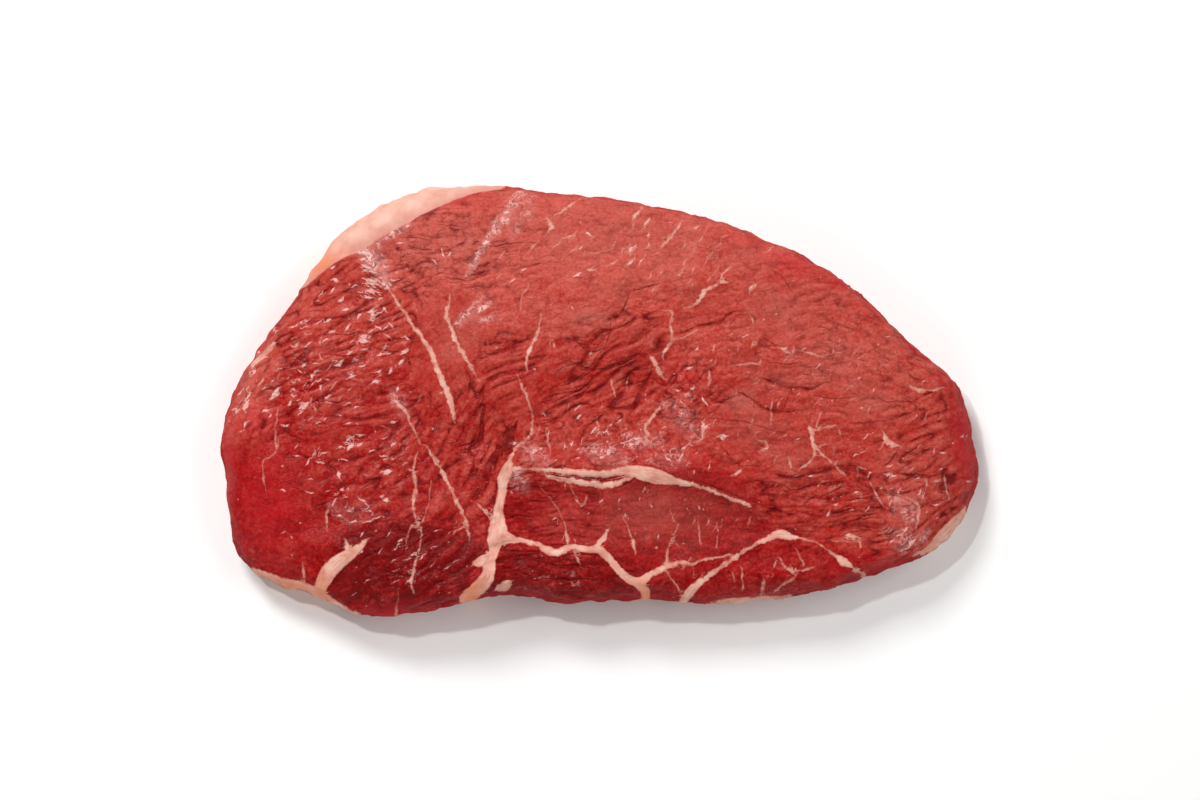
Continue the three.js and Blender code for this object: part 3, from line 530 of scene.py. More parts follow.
# How the steak's mesh is made, in mm where no note says otherwise
steakMesh = {
    "cuts": {"face": 3, "rim": 2},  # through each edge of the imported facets
    "nearLine": 0.75,               # this near a seam's edge or a deep crease, edges are halved again,
    "shortest": 0.45,               # unless they are shorter than this
    "lowest": 2,                    # or lower than this
    "deep": 0.65,                   # depth from which a crease counts as deep
    "longest": 1.15,                # on the rim, edges longer than this are halved as well
    "smoothing": 14,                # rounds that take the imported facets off
    "weld": 0.01,                   # edges shorter than this are closed
    "faceFrom": 0.4,                # rise of a facet's normal from which it counts as cut face
    "underside": (-0.9, 0.2),       # rise and height below which it counts as underside
    "onBoard": 0.02,                # what lies lower than this stays flat
    "footRounds": 60,               # even out the line where the steak leaves the board
    "footBorder": 1.5, "footGrid": 2.2,
    "lineReach": 9.0,               # beyond this from every line, a place has none
    "lineMargins": {"fat": 0.5, "crease": 0.3, "fleck": 0.3},       # beyond an edge, where the lift ends
    "filmReach": 4,
    # where each sets in: rise of the normals on the face and the rim, and distance from a seam's edge
    "faceRise": (0.15, 0.65), "rimRise": (0.8, 0), "fatEdge": (0.3, -0.3),
    # relief, as heights
    "threadRise": 0.08, "strewnRise": 0.04, "fleckRise": 0.18,
    "creaseShare": 0.5,             # of a crease's depth; the material's bump adds to it
    "groove": 0.09,                 # beside the seams
    "grooveAt": (0.15, 0.3),        # its middle's distance from their edge, and its own half width
    "grooved": (0.45, 3),           # half widths of the seams that have one
    "rimLift": 0.25,                # gives back what the smoothing takes off the rim
    "foot": 2.5,                    # height above the board over which the relief fades in
    "rimTop": 18, "faceHeight": 20, # heights at which the rim and the cut face begin
    # and as heights with the spans that they vary over
    "drift": (1.6, 17),             # of seams on their way down the rim
    "waver": (2.2, 11),             # of wrinkles
    "fineFolds": (1.9, 0.42),       # the second layer of wrinkles: how much finer, and how high
    "sharpness": 3.4,               # of the valleys between wrinkles
    "wrinkleLevel": 0.55,           # share of their height that lies below the slab's own face
    "swell": (0.3, 7),
    "crags": ((0.9, 5), (0.9, 2.8)),                                # lumps and nicks of the rim
    "outline": (95, 54),            # half the steak's length and width
    "box": ((-94.87, -54.02, 0), (94.92, 54.08, 22.42)),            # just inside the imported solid's
}

# The map for baking, as shares of its width, and the slab's own sizes in mm
steakMap = {
    "corner": (-97, -56), "span": 194,      # mm: the face's frame
    "faceUp": 0.42,                         # the face lies over the rest
    "underSize": 0.56,                      # the underside is laid smaller
    "strips": (0.585, 0.03), "stripSize": (0.39, 0.09), "stripStep": 0.12, "stripHeight": 24,
    "steep": 0.55,                          # rise of a face's normal up to which it counts as rim
}


def isFlat(face):
    # lies on the board
    return all(v.co.z < steakMesh["onBoard"] * mm for v in face.verts)


def facesIn(bm, region):
    # the faces of the flat underside, the cut face or the rim
    rise, height = steakMesh["underside"]
    for face in bm.faces:
        under = face.normal.z < rise and face.calc_center_median().z < height * mm
        if region == ("underside" if under else "face" if face.normal.z > steakMesh["faceFrom"] else "rim"):
            yield face


def layFoot(bm):
    # the flat underside: one face with an even edge, then a narrow border and a square grid in it
    foot = bmesh.ops.dissolve_faces(bm, faces=[face for face in bm.faces if isFlat(face)])["region"][0]
    line = [loop.vert for loop in foot.loops]
    places = np.array([v.co for v in line])
    for _ in range(steakMesh["footRounds"]):
        places = places / 2 + (np.roll(places, 1, 0) + np.roll(places, -1, 0)) / 4
    for v, (x, y, _) in zip(line, places):
        v.co = (x, y, 0)
    border = steakMesh["footBorder"] * mm
    bmesh.ops.inset_individual(bm, faces=[foot], thickness=border, use_even_offset=True)
    cells = [foot]
    for across in (Vector((1, 0, 0)), Vector((0, 1, 0))):
        reach = max(abs(across.dot(v.co)) for v in line)
        for away in np.arange(-reach, reach, steakMesh["footGrid"] * mm):
            parts = dict.fromkeys(part for cell in cells for part in (*cell.edges, *cell.verts))
            cut = bmesh.ops.bisect_plane(bm, geom=cells + list(parts), dist=0.001 * mm,
                                         plane_co=float(away) * across, plane_no=across)
            cells = [part for part in cut["geom"] if isinstance(part, bmesh.types.BMFace)]


def triangulate(bm):
    bmesh.ops.triangulate(bm, faces=[face for face in bm.faces if len(face.verts) > 3])


def refineSlab(source):
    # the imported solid's facets are divided, finest along the lines of fat, and rounded off
    sizes = steakMesh
    bm = bmesh.new()
    bm.from_mesh(source.data)
    bmesh.ops.remove_doubles(bm, verts=bm.verts, dist=sizes["weld"] * mm)
    bmesh.ops.dissolve_degenerate(bm, edges=bm.edges, dist=sizes["weld"] * mm)
    whole = set(bm.edges)
    for region, cuts in sizes["cuts"].items():
        edges = {edge for face in facesIn(bm, region) for edge in face.edges} & whole
        made = bmesh.ops.subdivide_edges(bm, edges=list(edges), cuts=cuts, use_grid_fill=True)
        whole -= edges | {part for part in made["geom"] if isinstance(part, bmesh.types.BMEdge)}
        triangulate(bm)

    edges = [edge for edge in bm.edges
             if edge.verts[0].co.z > sizes["lowest"] * mm and edge.calc_length() > sizes["shortest"] * mm]
    middles = np.array([(edge.verts[0].co + edge.verts[1].co) / 2 for edge in edges])[:, :2] / mm
    nearLine = np.zeros(len(edges), bool)
    for line in seamLines:
        found, side, width = alongLine(middles, line, sizes["lineReach"])
        nearLine[found[np.abs(np.abs(side) - width[:, 0] / 2) < sizes["nearLine"]]] = True
    for (depth, _, _), line in zip(creases, creaseLines):
        if depth > sizes["deep"]:
            nearLine[alongLine(middles, line, sizes["nearLine"])[0]] = True
    chosen = {edge for edge, near in zip(edges, nearLine) if near}
    bm.normal_update()
    chosen |= {edge for face in facesIn(bm, "rim") for edge in face.edges
               if edge.calc_length() > sizes["longest"] * mm
               and max(v.co.z for v in edge.verts) > sizes["onBoard"] * mm}
    chosen = [edge for edge in bm.edges if edge in chosen]
    bmesh.ops.subdivide_edges(bm, edges=chosen, cuts=1, use_grid_fill=True)

    layFoot(bm)
    triangulate(bm)
    above = [v for v in bm.verts if v.co.z > sizes["onBoard"] * mm]
    for _ in range(sizes["smoothing"]):
        bmesh.ops.smooth_vert(bm, verts=above, factor=0.5, use_axis_x=True, use_axis_y=True, use_axis_z=True)
    bm.normal_update()
    return bm


def fade(values, start, end):
    # how far each value has come from the start to the end, between 0 and 1
    return np.clip((values - start) / (end - start), 0, 1)


def noiseAt(points, spacing, shift):
    # every shift gives another noise
    return np.array([noise.noise(p) for p in (points / spacing + shift).tolist()])


def waverAt(points, size, shifts):
    height, span = size
    return height * np.column_stack([noiseAt(points, span, shift) for shift in shifts])


def blendFields(plan):
    # each place's share of every wrinkle field, adding up to one
    shares = []
    for field in wrinkleFields:
        away = (plan - field["at"]) / field["reach"]
        shares.append(np.exp(-(away ** 2).sum(1)))
    shares = np.array(shares) ** 1.5 + 1e-9
    return shares / shares.sum(0)


def filmAt(plan):
    # strength of the silver skin and of the painted sheen, fading out beyond its strokes
    total = np.zeros(len(plan))
    for strength, stroke in silverSkinAndSheen:
        found, side, width = alongLine(plan, smoothLine(stroke), steakMesh["filmReach"])
        share = np.clip(1.3 - np.abs(side) / width[:, 0], 0, 1)
        total[found] = np.maximum(total[found], strength * share)
    return total


def patchAt(plan, patches):
    # strength of the strongest of these patches at each place
    total = np.zeros(len(plan))
    for x, y, reachX, reachY, strength in patches:
        away = ((plan[:, 0] - x) / reachX) ** 2 + ((plan[:, 1] - y) / reachY) ** 2
        total = np.maximum(total, strength * np.exp(-away))
    return total


def wrinkleHeight(points, shares):
    # folds with flat backs and sharp valleys, in each field's own direction; the two layers
    # that make the valleys are handed on, so that the surface can draw them as fine dark lines
    finer, fineShare = steakMesh["fineFolds"]
    bent = points + waverAt(points, steakMesh["waver"], (3.1, 8.7, 15.3))
    layers = np.zeros((2, len(points)))
    swell = np.zeros(len(points))
    for field, share in zip(wrinkleFields, shares):
        some = np.flatnonzero(share > 0.03)
        swell += share * field["height"]
        turn = math.radians(field["turn"])
        along = bent[some] @ (math.cos(turn), math.sin(turn), 0)
        across = bent[some] @ (-math.sin(turn), math.cos(turn), 0)
        local = np.column_stack([along / field["stretch"], across, bent[some, 2] * 0.8])
        for layer, fineness in zip(layers, (1, finer)):
            layer[some] += share[some] * noiseAt(local, field["spacing"] / fineness, fineness * 7)
    layers /= np.sqrt((shares ** 2).sum(0))
    coarse, fine = np.tanh(np.abs(layers) * steakMesh["sharpness"]) - steakMesh["wrinkleLevel"]
    return swell * (coarse + fineShare * fine), layers, swell


def layLines(plan, lines, rises, margin):
    # for every place the nearest line: side of it, half its width, distance from its edge,
    # how far along it the place lies, and the lift
    far = steakMesh["lineReach"]
    side, half, fromEdge, run, lift = (np.full(len(plan), value) for value in (far, 0.0, far, 0.0, 0.0))
    for line, rise in zip(lines, rises):
        passed = np.append(0, np.cumsum(np.hypot(*np.diff(line[:, :2], axis=0).T)))
        found, sideways, values = alongLine(plan, np.column_stack([line, passed]), far)
        width = values[:, 0] / 2
        gap = np.abs(sideways) - width
        better = gap < fromEdge[found]
        found, sideways, width, gap = found[better], sideways[better], width[better], gap[better]
        side[found], half[found], fromEdge[found], run[found] = sideways, width, gap, values[better, 1]
        crown = np.clip(1.6 - 1.6 * np.abs(sideways) / (width + margin), 0, 1)
        crown = crown * crown * (3 - 2 * crown) * np.minimum(width / 0.5, 1)
        lift[found] = np.maximum(lift[found], rise * crown)
    return side, half, fromEdge, run, lift


def smoothed(values, edges, rounds):
    # each vertex takes on the mean of its neighbours
    degree = np.maximum(np.bincount(edges.ravel(), minlength=len(values)), 1)
    for _ in range(rounds):
        total = np.bincount(edges[:, 0], values[edges[:, 1]], len(values))
        total += np.bincount(edges[:, 1], values[edges[:, 0]], len(values))
        values = total / degree
    return values


def readValues(parts, name, width, kind=float):
    # a value of every vertex, edge or corner, as an array with rows this wide
    values = np.empty(width * len(parts), kind)
    parts.foreach_get(name, values)
    return values.reshape(-1, width)


def modelSteak(source):
    sizes = steakMesh
    bm = refineSlab(source)
    mesh = bpy.data.meshes.new("rawSteak")
    bm.to_mesh(mesh)
    bm.free()
    points = readValues(mesh.vertices, "co", 3) / mm
    normals = readValues(mesh.vertex_normals, "vector", 3)
    edges = readValues(mesh.edges, "vertices", 2, int)
    print("  slab divided into", len(mesh.polygons), "faces")

    # seams waver a little on their way down through the slab
    down = fade(points[:, 2:], sizes["faceHeight"], 0)
    plan = points[:, :2] + down * waverAt(points, sizes["drift"], (2.2, 9.4))
    rises = [rise for rise, _ in fatSeams]
    rises += [sizes["threadRise"]] * len(threadLines) + [sizes["strewnRise"]] * len(strewnLines)
    margin = sizes["lineMargins"]
    *fatLine, run, lift = layLines(plan, seamLines + threadLines + strewnLines, rises, margin["fat"])
    *creased, _, cut = layLines(plan, creaseLines, [depth for depth, _, _ in creases], margin["crease"])
    rises = [sizes["fleckRise"]] * len(fleckLines)
    *flecked, _, fleckLift = layLines(plan, fleckLines, rises, margin["fleck"])
    _, half, fromEdge = fatLine
    print("  fat and creases laid out")

    # how far each place belongs to each field, to the face, to the rim and to the fat
    shares = blendFields(points[:, :2])
    onFace = fade(normals[:, 2], *sizes["faceRise"])
    onRim = fade(np.abs(normals[:, 2]), *sizes["rimRise"])
    fat = fade(fromEdge, *sizes["fatEdge"])
    wrinkles, valleys, fieldHeight = wrinkleHeight(points, shares)
    wrinkles *= (0.25 + 0.75 * onFace) * (1 - 0.85 * fat)
    (lump, lumpSpan), (nick, nickSpan) = sizes["crags"]
    nicks = nick * np.abs(noiseAt(points, nickSpan, 6.6))
    wrinkles += onRim * (lump * noiseAt(points, lumpSpan, 12.1) - nicks)
    (grooveAt, grooveHalf), (thinnest, widest) = sizes["grooveAt"], sizes["grooved"]
    groove = sizes["groove"] * np.exp(-((fromEdge - grooveAt) / grooveHalf) ** 2)
    groove = groove * (half > thinnest) * (half < widest) * onFace
    swell, swellSpan = sizes["swell"]
    relief = wrinkles + swell * noiseAt(points, swellSpan, 4.4) * (1 - 0.5 * fat) - smoothed(groove, edges, 1)
    raised = lift * np.maximum(onFace, 0.3) + (fleckLift - sizes["creaseShare"] * cut) * onFace
    relief += smoothed(raised, edges, 2) + sizes["rimLift"] * onRim
    relief *= fade(points[:, 2], 0, sizes["foot"])
    inside = points[:, 2] > sizes["onBoard"]
    points[inside] += normals[inside] * relief[inside, None]
    points = np.clip(points, *sizes["box"])
    mesh.vertices.foreach_set("co", (points * mm).ravel())
    print("  relief raised")

    # fields for the material: first those that each field of wrinkles sets
    tone, crackle, turn = (np.array([field[name] for field in wrinkleFields])
                           for name in ("tone", "crackle", "turn"))
    tone, crackle, slant = (values @ shares for values in (tone, crackle, fade(turn, *beefLook["turns"])))
    # the rim: paler to the back and deeper red to the front, partly its own colour and partly painted light
    # falling from the back
    middleTone, change, span = beefLook["rimTones"]
    rimTone = middleTone + change * np.clip(points[:, 1] / span, -1, 1)
    # and plan coordinates rolled on over the rim, so that flat patterns run down it unstretched
    outline = np.array(sizes["outline"])
    outward = points[:, :2] / outline ** 2
    outward /= np.linalg.norm(outward, axis=1)[:, None] + 1e-9
    nearRim = fade(np.linalg.norm(points[:, :2] / outline, axis=1), 0.75, 0.9)
    rolled = plan + outward * (nearRim * np.maximum(sizes["rimTop"] - points[:, 2], 0))[:, None]
    for name, values in {
        "fatLine": fatLine, "fatRun": [run], "creaseLine": creased, "fleckLine": flecked,
        "valleys": [*valleys, fade(fieldHeight, 0.13, 0.3) * onFace],
        "rolled": [*rolled.T, slant],
        "crackle": [crackle * (0.4 + 0.6 * onFace)],
        "tone": [tone * onFace + rimTone * (1 - onFace)],
        "hollow": [(5 * (smoothed(wrinkles, edges, 8) - wrinkles) + 2 * groove) * (0.3 + 0.7 * onFace)],
        "filmAndGlints": [filmAt(plan) * onFace],
        # hues: yellowed fat; dust, with painted light on the lit left shoulder; and a flushed red over the
        # whole rim too, partly painted light on the rim
        "hues": [patchAt(plan, amberFat), patchAt(plan, dustyAndLitMeat) * onFace,
                 np.maximum(patchAt(plan, flushedAndLitMeat), 0.7 * onRim)],
        "wet": [patchAt(plan, wetMeat) * onFace - 0.6 * onRim],
    }.items():
        kind, field = ("FLOAT_VECTOR", "vector") if len(values) == 3 else ("FLOAT", "value")
        mesh.attributes.new(name, kind, "POINT").data.foreach_set(field, np.column_stack(values).ravel())

    layOutMap(mesh, points, normals)
    print("  fields and map laid out")
    mesh.polygons.foreach_set("use_smooth", np.ones(len(mesh.polygons), bool))
    mesh.update()
    steak = bpy.data.objects.new("rawSteak", mesh)
    bpy.context.scene.collection.objects.link(steak)
    return steak


def layOutMap(mesh, points, normals):
    # the face as large as it fits, with the underside and three strips of rim below it
    corner = readValues(mesh.loops, "vertex_index", 1, int)[:, 0]
    faces = corner.reshape(-1, 3)
    up = np.repeat(normals[faces].mean(1)[:, 2:], 3, 0)
    middle = np.repeat(points[faces].mean(1), 3, 0)
    x, y, z = points[corner].T
    third = 2 * math.pi / 3
    strip = np.floor((np.arctan2(middle[:, 1], middle[:, 0]) + math.pi) / third).clip(0, 2)
    start = strip * third - math.pi
    turn = (np.arctan2(y, x) - start + math.pi) % (2 * math.pi) - math.pi
    wide, tall = steakMap["stripSize"]
    rise = strip * steakMap["stripStep"] + z / steakMap["stripHeight"] * tall
    rim = np.column_stack([turn / third * wide, rise])
    face = (points[corner][:, :2] - steakMap["corner"]) / steakMap["span"]
    uv = np.where(up < -steakMap["steep"], face * steakMap["underSize"], face + (0, steakMap["faceUp"]))
    uv = np.where(np.abs(up) <= steakMap["steep"], rim + steakMap["strips"], uv)
    mesh.uv_layers.new(name="OFBake").data.foreach_set("uv", uv.ravel())


def linear(hexColour):
    parts = [int(hexColour[i:i + 2], 16) / 255 for i in (1, 3, 5)]
    return tuple(c / 12.92 if c <= 0.04045 else ((c + 0.055) / 1.055) ** 2.4 for c in parts) + (1.0,)


def addNode(tree, kind, inputs=(), out=0, **settings):
    # a shader node with its settings; its inputs by name, or as a list in the order of its sockets
    node = tree.nodes.new("ShaderNode" + kind)
    for name, value in settings.items():
        setattr(node, name, value)
    for name, value in inputs.items() if isinstance(inputs, dict) else enumerate(inputs):
        if isinstance(value, bpy.types.NodeSocket):
            tree.links.new(value, node.inputs[name])
        else:
            node.inputs[name].default_value = value
    return node.outputs[out] if node.outputs else node


beefLook = {
    "colours": {
        # muscle from the deepest tone to the palest, painted shade for its cracks, creases and hollows,
        # painted highlights on the backs of deep and pale folds, dried meat and painted light on a lit
        # shoulder, a flushed red that is partly painted light on the rim, and silver skin, also used for
        # painted sheen and wet glints
        "deep": "#700002", "red": "#A20C0E", "brick": "#B23429", "pale": "#C8574B", "crack": "#680404",
        "proudDeep": "#B42421", "proud": "#D2695C", "dustyAndLit": "#BA5A4E", "flushAndLit": "#C41E26", "filmAndGlints": "#F3C0B8",
        # fat, its margin, and where it has yellowed
        "fat": "#DA9C8A", "fatShade": "#CA8371", "fatPale": "#EBBAA8", "fatEdge": "#C8766A",
        "amber": "#E8855A",
    },
    # noises: blotches to the cm, detail and roughness
    "noises": {
        "waver": (4.5, 3, 0.6), "mottle": (1.6, 5, 0.65), "grain": (12.5, 2, 0.5), "dustAndLitShare": (0.9, 4, 0.65),
        "patchy": (3.2, 2, 0.5), "crumb": (10, 1, 0.5), "curls": (4.2, 1, 0.5), "glints": (5, 1, 0.5),
        "ragged": (6, 2, 0.6), "broken": (9, 2, 0.5), "cloud": (3, 2, 0.45),
    },
    # where the muscle's tones and the fat's lie on their ramps, with the two ends first
    "muscleRamp": {"deep": 0.02, "pale": 0.98, "red": 0.33, "brick": 0.62},
    "fatRamp": {"fatShade": 0, "fatPale": 1, "fat": 0.4},
    # what the layers add to the muscle's tone, and what is taken off for it
    "toneShares": {"mottle": 0.5, "grain": 0.75, "bundle": 0.22}, "toneLevel": 0.73,
    # the rim's rise in tone to the back is partly painted light falling from the back
    "rimTones": (0.34, 0.24, 45),   # tone of the rim halfway, its rise to the back, and over how many mm
    # lines: how much they waver, how soft their edge is in mm, and what share of their half width is
    # added to it
    "lines": {"creaseLine": (1.2, 0.2), "fleckLine": (1.6, 0.4), "fatLine": (1.3, 0.2)},
    "widened": {"crease": -0.6, "fleck": 0.3, "fat": (-0.9, 1)},
    # relief finer than the mesh, as heights in mm
    "relief": {"crack": -0.16, "crease": -0.22, "filmAndGlints": 0.06, "fibre": 0.08, "seam": -0.04, "fat": 0.07},
    "crackCell": 1.9, "crackStretch": 2.4,                          # mm
    "bundle": 0.95, "bundleStretch": 1.7, "bundleTurn": 0.3,        # mm and radians, the finest ones
    "foldSpacing": 1.3, "foldStretch": 2.6,                         # mm
    "foldDepth": (0.13, 0.42),                                      # mm, dry and wet
    "roughness": (0.7, 0.44, 0.14),                                 # of the rim, dry and wet
    "fibreSpacing": 0.35,                                           # mm, coarser than the real 0.1
    "pinpricks": 2.3,                                               # mm between them
    "turns": (8, 34),                                               # degrees, of the two lays of fibre
    "shine": 0.17,                                                  # below 0.5, as raw meat is dull
}


def rawBeef():
    # raw beef, cut and moist: dark red fibres and soft cream fat under a film of water, so it
    # shows satin flanks, sharp little glints on the folds and no mirror
    look = beefLook
    tint = {name: linear(value) for name, value in look["colours"].items()}
    material = bpy.data.materials.new("rawBeef")
    material.use_nodes = True
    material.node_tree.nodes.clear()
    add = partial(addNode, material.node_tree)
    laid = {name: add("Attribute", attribute_name=name, out="Fac")
            for name in ("tone", "crackle", "hollow", "filmAndGlints", "wet", "fatRun")}
    rolled = add("Attribute", attribute_name="rolled", out="Vector")
    slant = add("SeparateXYZ", [rolled], out="Z")
    hues, valleys = (add("SeparateXYZ", [add("Attribute", attribute_name=name, out="Vector")]).node.outputs
                     for name in ("hues", "valleys"))
    inMm = add("VectorMath", {0: add("TexCoord", out="Object"), "Scale": 1000}, operation="SCALE")
    noises = {}
    for name, (perCm, detail, rough) in look["noises"].items():
        sizes = {"Vector": inMm, "Scale": perCm / 10, "Detail": detail, "Roughness": rough}
        noises[name] = add("TexNoise", sizes)
    waver = noises["waver"].node.outputs["Color"]
    waver = add("VectorMath", [waver, (0.5, 0.5, 0.5)], operation="SUBTRACT")
    # places with a waver in them: rolled out flat for plan patterns, and in space
    flat, bent = (add("VectorMath", [waver, (2.6, 2.6, 2.6), place], operation="MULTIPLY_ADD")
                  for place in (rolled, inMm))

    # muscle: tone by region, partly painted light where the back is paler, mottled and grained; each small
    # bundle of fibres has its own tone, and a faint line of painted shade round it
    mottle = noises["mottle"]
    bundles = add("VectorRotate", {"Vector": flat, "Angle": -look["bundleTurn"]})
    size = (1 / look["bundle"] / look["bundleStretch"], 1 / look["bundle"], 0)
    bundles = add("VectorMath", [bundles, size], operation="MULTIPLY")
    bundle = add("TexVoronoi", {"Vector": bundles, "Scale": 1.0}, out="Color", voronoi_dimensions="2D")
    bundle = add("SeparateXYZ", [bundle], out="X")
    seam = add("TexVoronoi", {"Vector": bundles, "Scale": 1.0}, out="Distance",
               voronoi_dimensions="2D", feature="DISTANCE_TO_EDGE")
    seam = add("MapRange", [seam, 0, 0.16, 1, 0])
    tone = laid["tone"]
    layers = {"mottle": mottle, "grain": noises["grain"], "bundle": bundle}
    for name, share in look["toneShares"].items():
        tone = add("Math", [layers[name], share, tone], operation="MULTIPLY_ADD")
    tone = add("Math", [tone, look["toneLevel"]], operation="SUBTRACT")
    muscle = muscleRamp = add("ValToRGB", [tone])

    # dusty where it dried, with painted light on the lit left shoulder among those patches; and a flushed red
    # in patches and over the whole rim, partly the meat's own colour and partly painted light on the rim
    dustAndLitShare = add("MapRange", [noises["dustAndLitShare"], 0.48, 0.68, 0, 0.5])
    dustAndLitShare = add("Math", [dustAndLitShare, tone], operation="MULTIPLY")
    dustyAndLit = add("Math", [hues[1], mottle], operation="MULTIPLY")
    dustAndLitShare = add("Math", [dustyAndLit, 1.5, dustAndLitShare], operation="MULTIPLY_ADD", use_clamp=True)
    flushAndLit = add("Math", [mottle, 1.7, -0.2], operation="MULTIPLY_ADD", use_clamp=True)
    flushAndLit = add("Math", [flushAndLit, hues[2]], operation="MULTIPLY", use_clamp=True)

    # crackle, drawn as painted shade in its cracks, and fine folds, in the two directions that the fibres run
    cell, cellStretch = look["crackCell"], look["crackStretch"]
    spacing, foldStretch = look["foldSpacing"], look["foldStretch"]
    crackSides, foldSides = [], []
    for turn in look["turns"]:
        cells, folds = (add("VectorRotate", {"Vector": place, "Angle": -math.radians(turn)})
                        for place in (flat, bent))
        cells = add("VectorMath", [cells, (1 / cell / cellStretch, 1 / cell, 0)], operation="MULTIPLY")
        crackSides.append(add("TexVoronoi", {"Vector": cells, "Scale": 1.0}, out="Distance",
                              voronoi_dimensions="2D", feature="DISTANCE_TO_EDGE"))
        size = (1 / spacing / foldStretch, 1 / spacing, 1 / spacing)
        folds = add("VectorMath", [folds, size], operation="MULTIPLY")
        foldSides.append(add("TexNoise", {"Vector": folds, "Scale": 1.0, "Detail": 2, "Roughness": 0.5}))
    gap, fold = (add("Mix", {0: slant, 2: sides[0], 3: sides[1]}) for sides in (crackSides, foldSides))
    patchy = add("MapRange", [noises["patchy"], 0.4, 0.6])
    crack = add("MapRange", [gap, 0, 0.1, 1, 0], interpolation_type="SMOOTHSTEP")
    for share in (patchy, laid["crackle"]):
        crack = add("Math", [crack, share], operation="MULTIPLY")

    # the folds' valleys, as lines of painted shade that swell and fade
    breadth = add("Math", [patchy, 0.12, 0.1], operation="MULTIPLY_ADD")
    strength = add("Math", [patchy, valleys[2]], operation="MULTIPLY")
    for valley, weight in ((valleys[0], 0.9), (valleys[1], 0.5)):
        line = add("Math", [valley], operation="ABSOLUTE")
        line = add("MapRange", [line, 0, breadth, weight, 0], interpolation_type="SMOOTHSTEP")
        line = add("Math", [line, strength], operation="MULTIPLY")
        crack = add("Math", [line, crack], operation="MAXIMUM")

    def lineMask(name, widen):
        # how far out of the nearest line's edge a place lies, the mask inside it, and half its width
        sway, soft = look["lines"][name]
        line = add("Attribute", attribute_name=name, out="Vector")
        side, half, fromEdge = add("SeparateXYZ", [line]).node.outputs
        steady = add("MapRange", [half, 0.35, 1.1, 1, 0.35])
        aside = add("SeparateXYZ", [waver], out="Y")
        aside = add("Math", [aside, steady], operation="MULTIPLY")
        aside = add("Math", [aside, sway, side], operation="MULTIPLY_ADD")
        aside = add("Math", [aside], operation="ABSOLUTE")
        most = add("Math", [half, 0.45], operation="MINIMUM")
        most = add("Math", [most, steady], operation="MULTIPLY")
        wide = add("Math", [most, widen, half], operation="MULTIPLY_ADD")
        out = add("Math", [aside, wide], operation="SUBTRACT")
        mask = add("MapRange", [out, -soft, soft, 1, 0], interpolation_type="SMOOTHSTEP")
        close = add("MapRange", [fromEdge, 0.3, 0.7, 1, 0])
        return out, add("Math", [mask, close], operation="MULTIPLY"), half

    # named creases: lines of painted shade that thin out to their ends
    _, crease, _ = lineMask("creaseLine", look["widened"]["crease"])
    faint = add("Math", [patchy, 0.4, 0.55], operation="MULTIPLY_ADD")
    crease = add("Math", [crease, faint], operation="MULTIPLY")

    # painted shade in the hollows, the dips of the fine folds, the cracks, the lines round the bundles and
    # the creases; painted highlights on the backs of the folds
    hollowShade = add("MapRange", [laid["hollow"], 0.2, 1.6, 0, 0.5])
    foldDipShade = add("MapRange", [fold, 0.48, 0.28, 0, 0.3])
    paintedShade = add("Math", [crack, 0.9, hollowShade], operation="MULTIPLY_ADD")
    paintedShade = add("Math", [foldDipShade, paintedShade], operation="ADD")
    paintedShade = add("Math", [seam, 0.18, paintedShade], operation="MULTIPLY_ADD")
    paintedShade = add("Math", [crease, paintedShade], operation="MAXIMUM")
    paintedShade = add("Math", [paintedShade, 0.92], operation="MINIMUM")
    proud = add("MapRange", [laid["hollow"], 0, -1.2, 0, 0.6])
    lit = add("Math", [tone, 0.8, 0.42], operation="MULTIPLY_ADD", use_clamp=True)
    proud = add("Math", [proud, lit], operation="MULTIPLY")
    highlightTint = add("MapRange", [tone, 0.05, 0.5])
    highlightTint = add("Mix", {0: highlightTint, 6: tint["proudDeep"], 7: tint["proud"]}, data_type="RGBA", out=2)

    # pinpricks: ends of the finest marbling
    near, colour = add("TexVoronoi", {"Vector": bent, "Scale": 1 / look["pinpricks"]}).node.outputs[:2]
    kept = add("SeparateXYZ", [colour], out="X")
    kept = add("MapRange", [kept, 0.4, 0.95, 0, 0.15])
    prick = add("Math", [kept, near], operation="SUBTRACT")
    prick = add("MapRange", [prick, 0, 0.06, 0, 0.6])

    # films of silver skin, some of them painted sheen: a haze with pits and a lace of pale curls in it
    pit = add("MapRange", [noises["crumb"], 0.44, 0.36, 0, 0.5])
    pit = add("Math", [pit, laid["filmAndGlints"]], operation="MULTIPLY", use_clamp=True)
    pit = add("Math", [pit, 0.5], operation="MINIMUM")
    curl = add("TexNoise", {"Vector": bent, "Scale": 0.7, "Detail": 1, "Distortion": 0.7})
    curl = add("Math", [curl, 0.5], operation="SUBTRACT")
    curl = add("Math", [curl], operation="ABSOLUTE")
    curl = add("MapRange", [curl, 0.01, 0.09, 1, 0])
    kept = add("MapRange", [noises["curls"], 0.44, 0.56, 0.1, 1])
    lace = add("Math", [curl, kept], operation="MULTIPLY")
    lace = add("Math", [lace, 0.76, 0.12], operation="MULTIPLY_ADD")
    filmAndGlints = add("Math", [laid["filmAndGlints"], lace], operation="MULTIPLY")

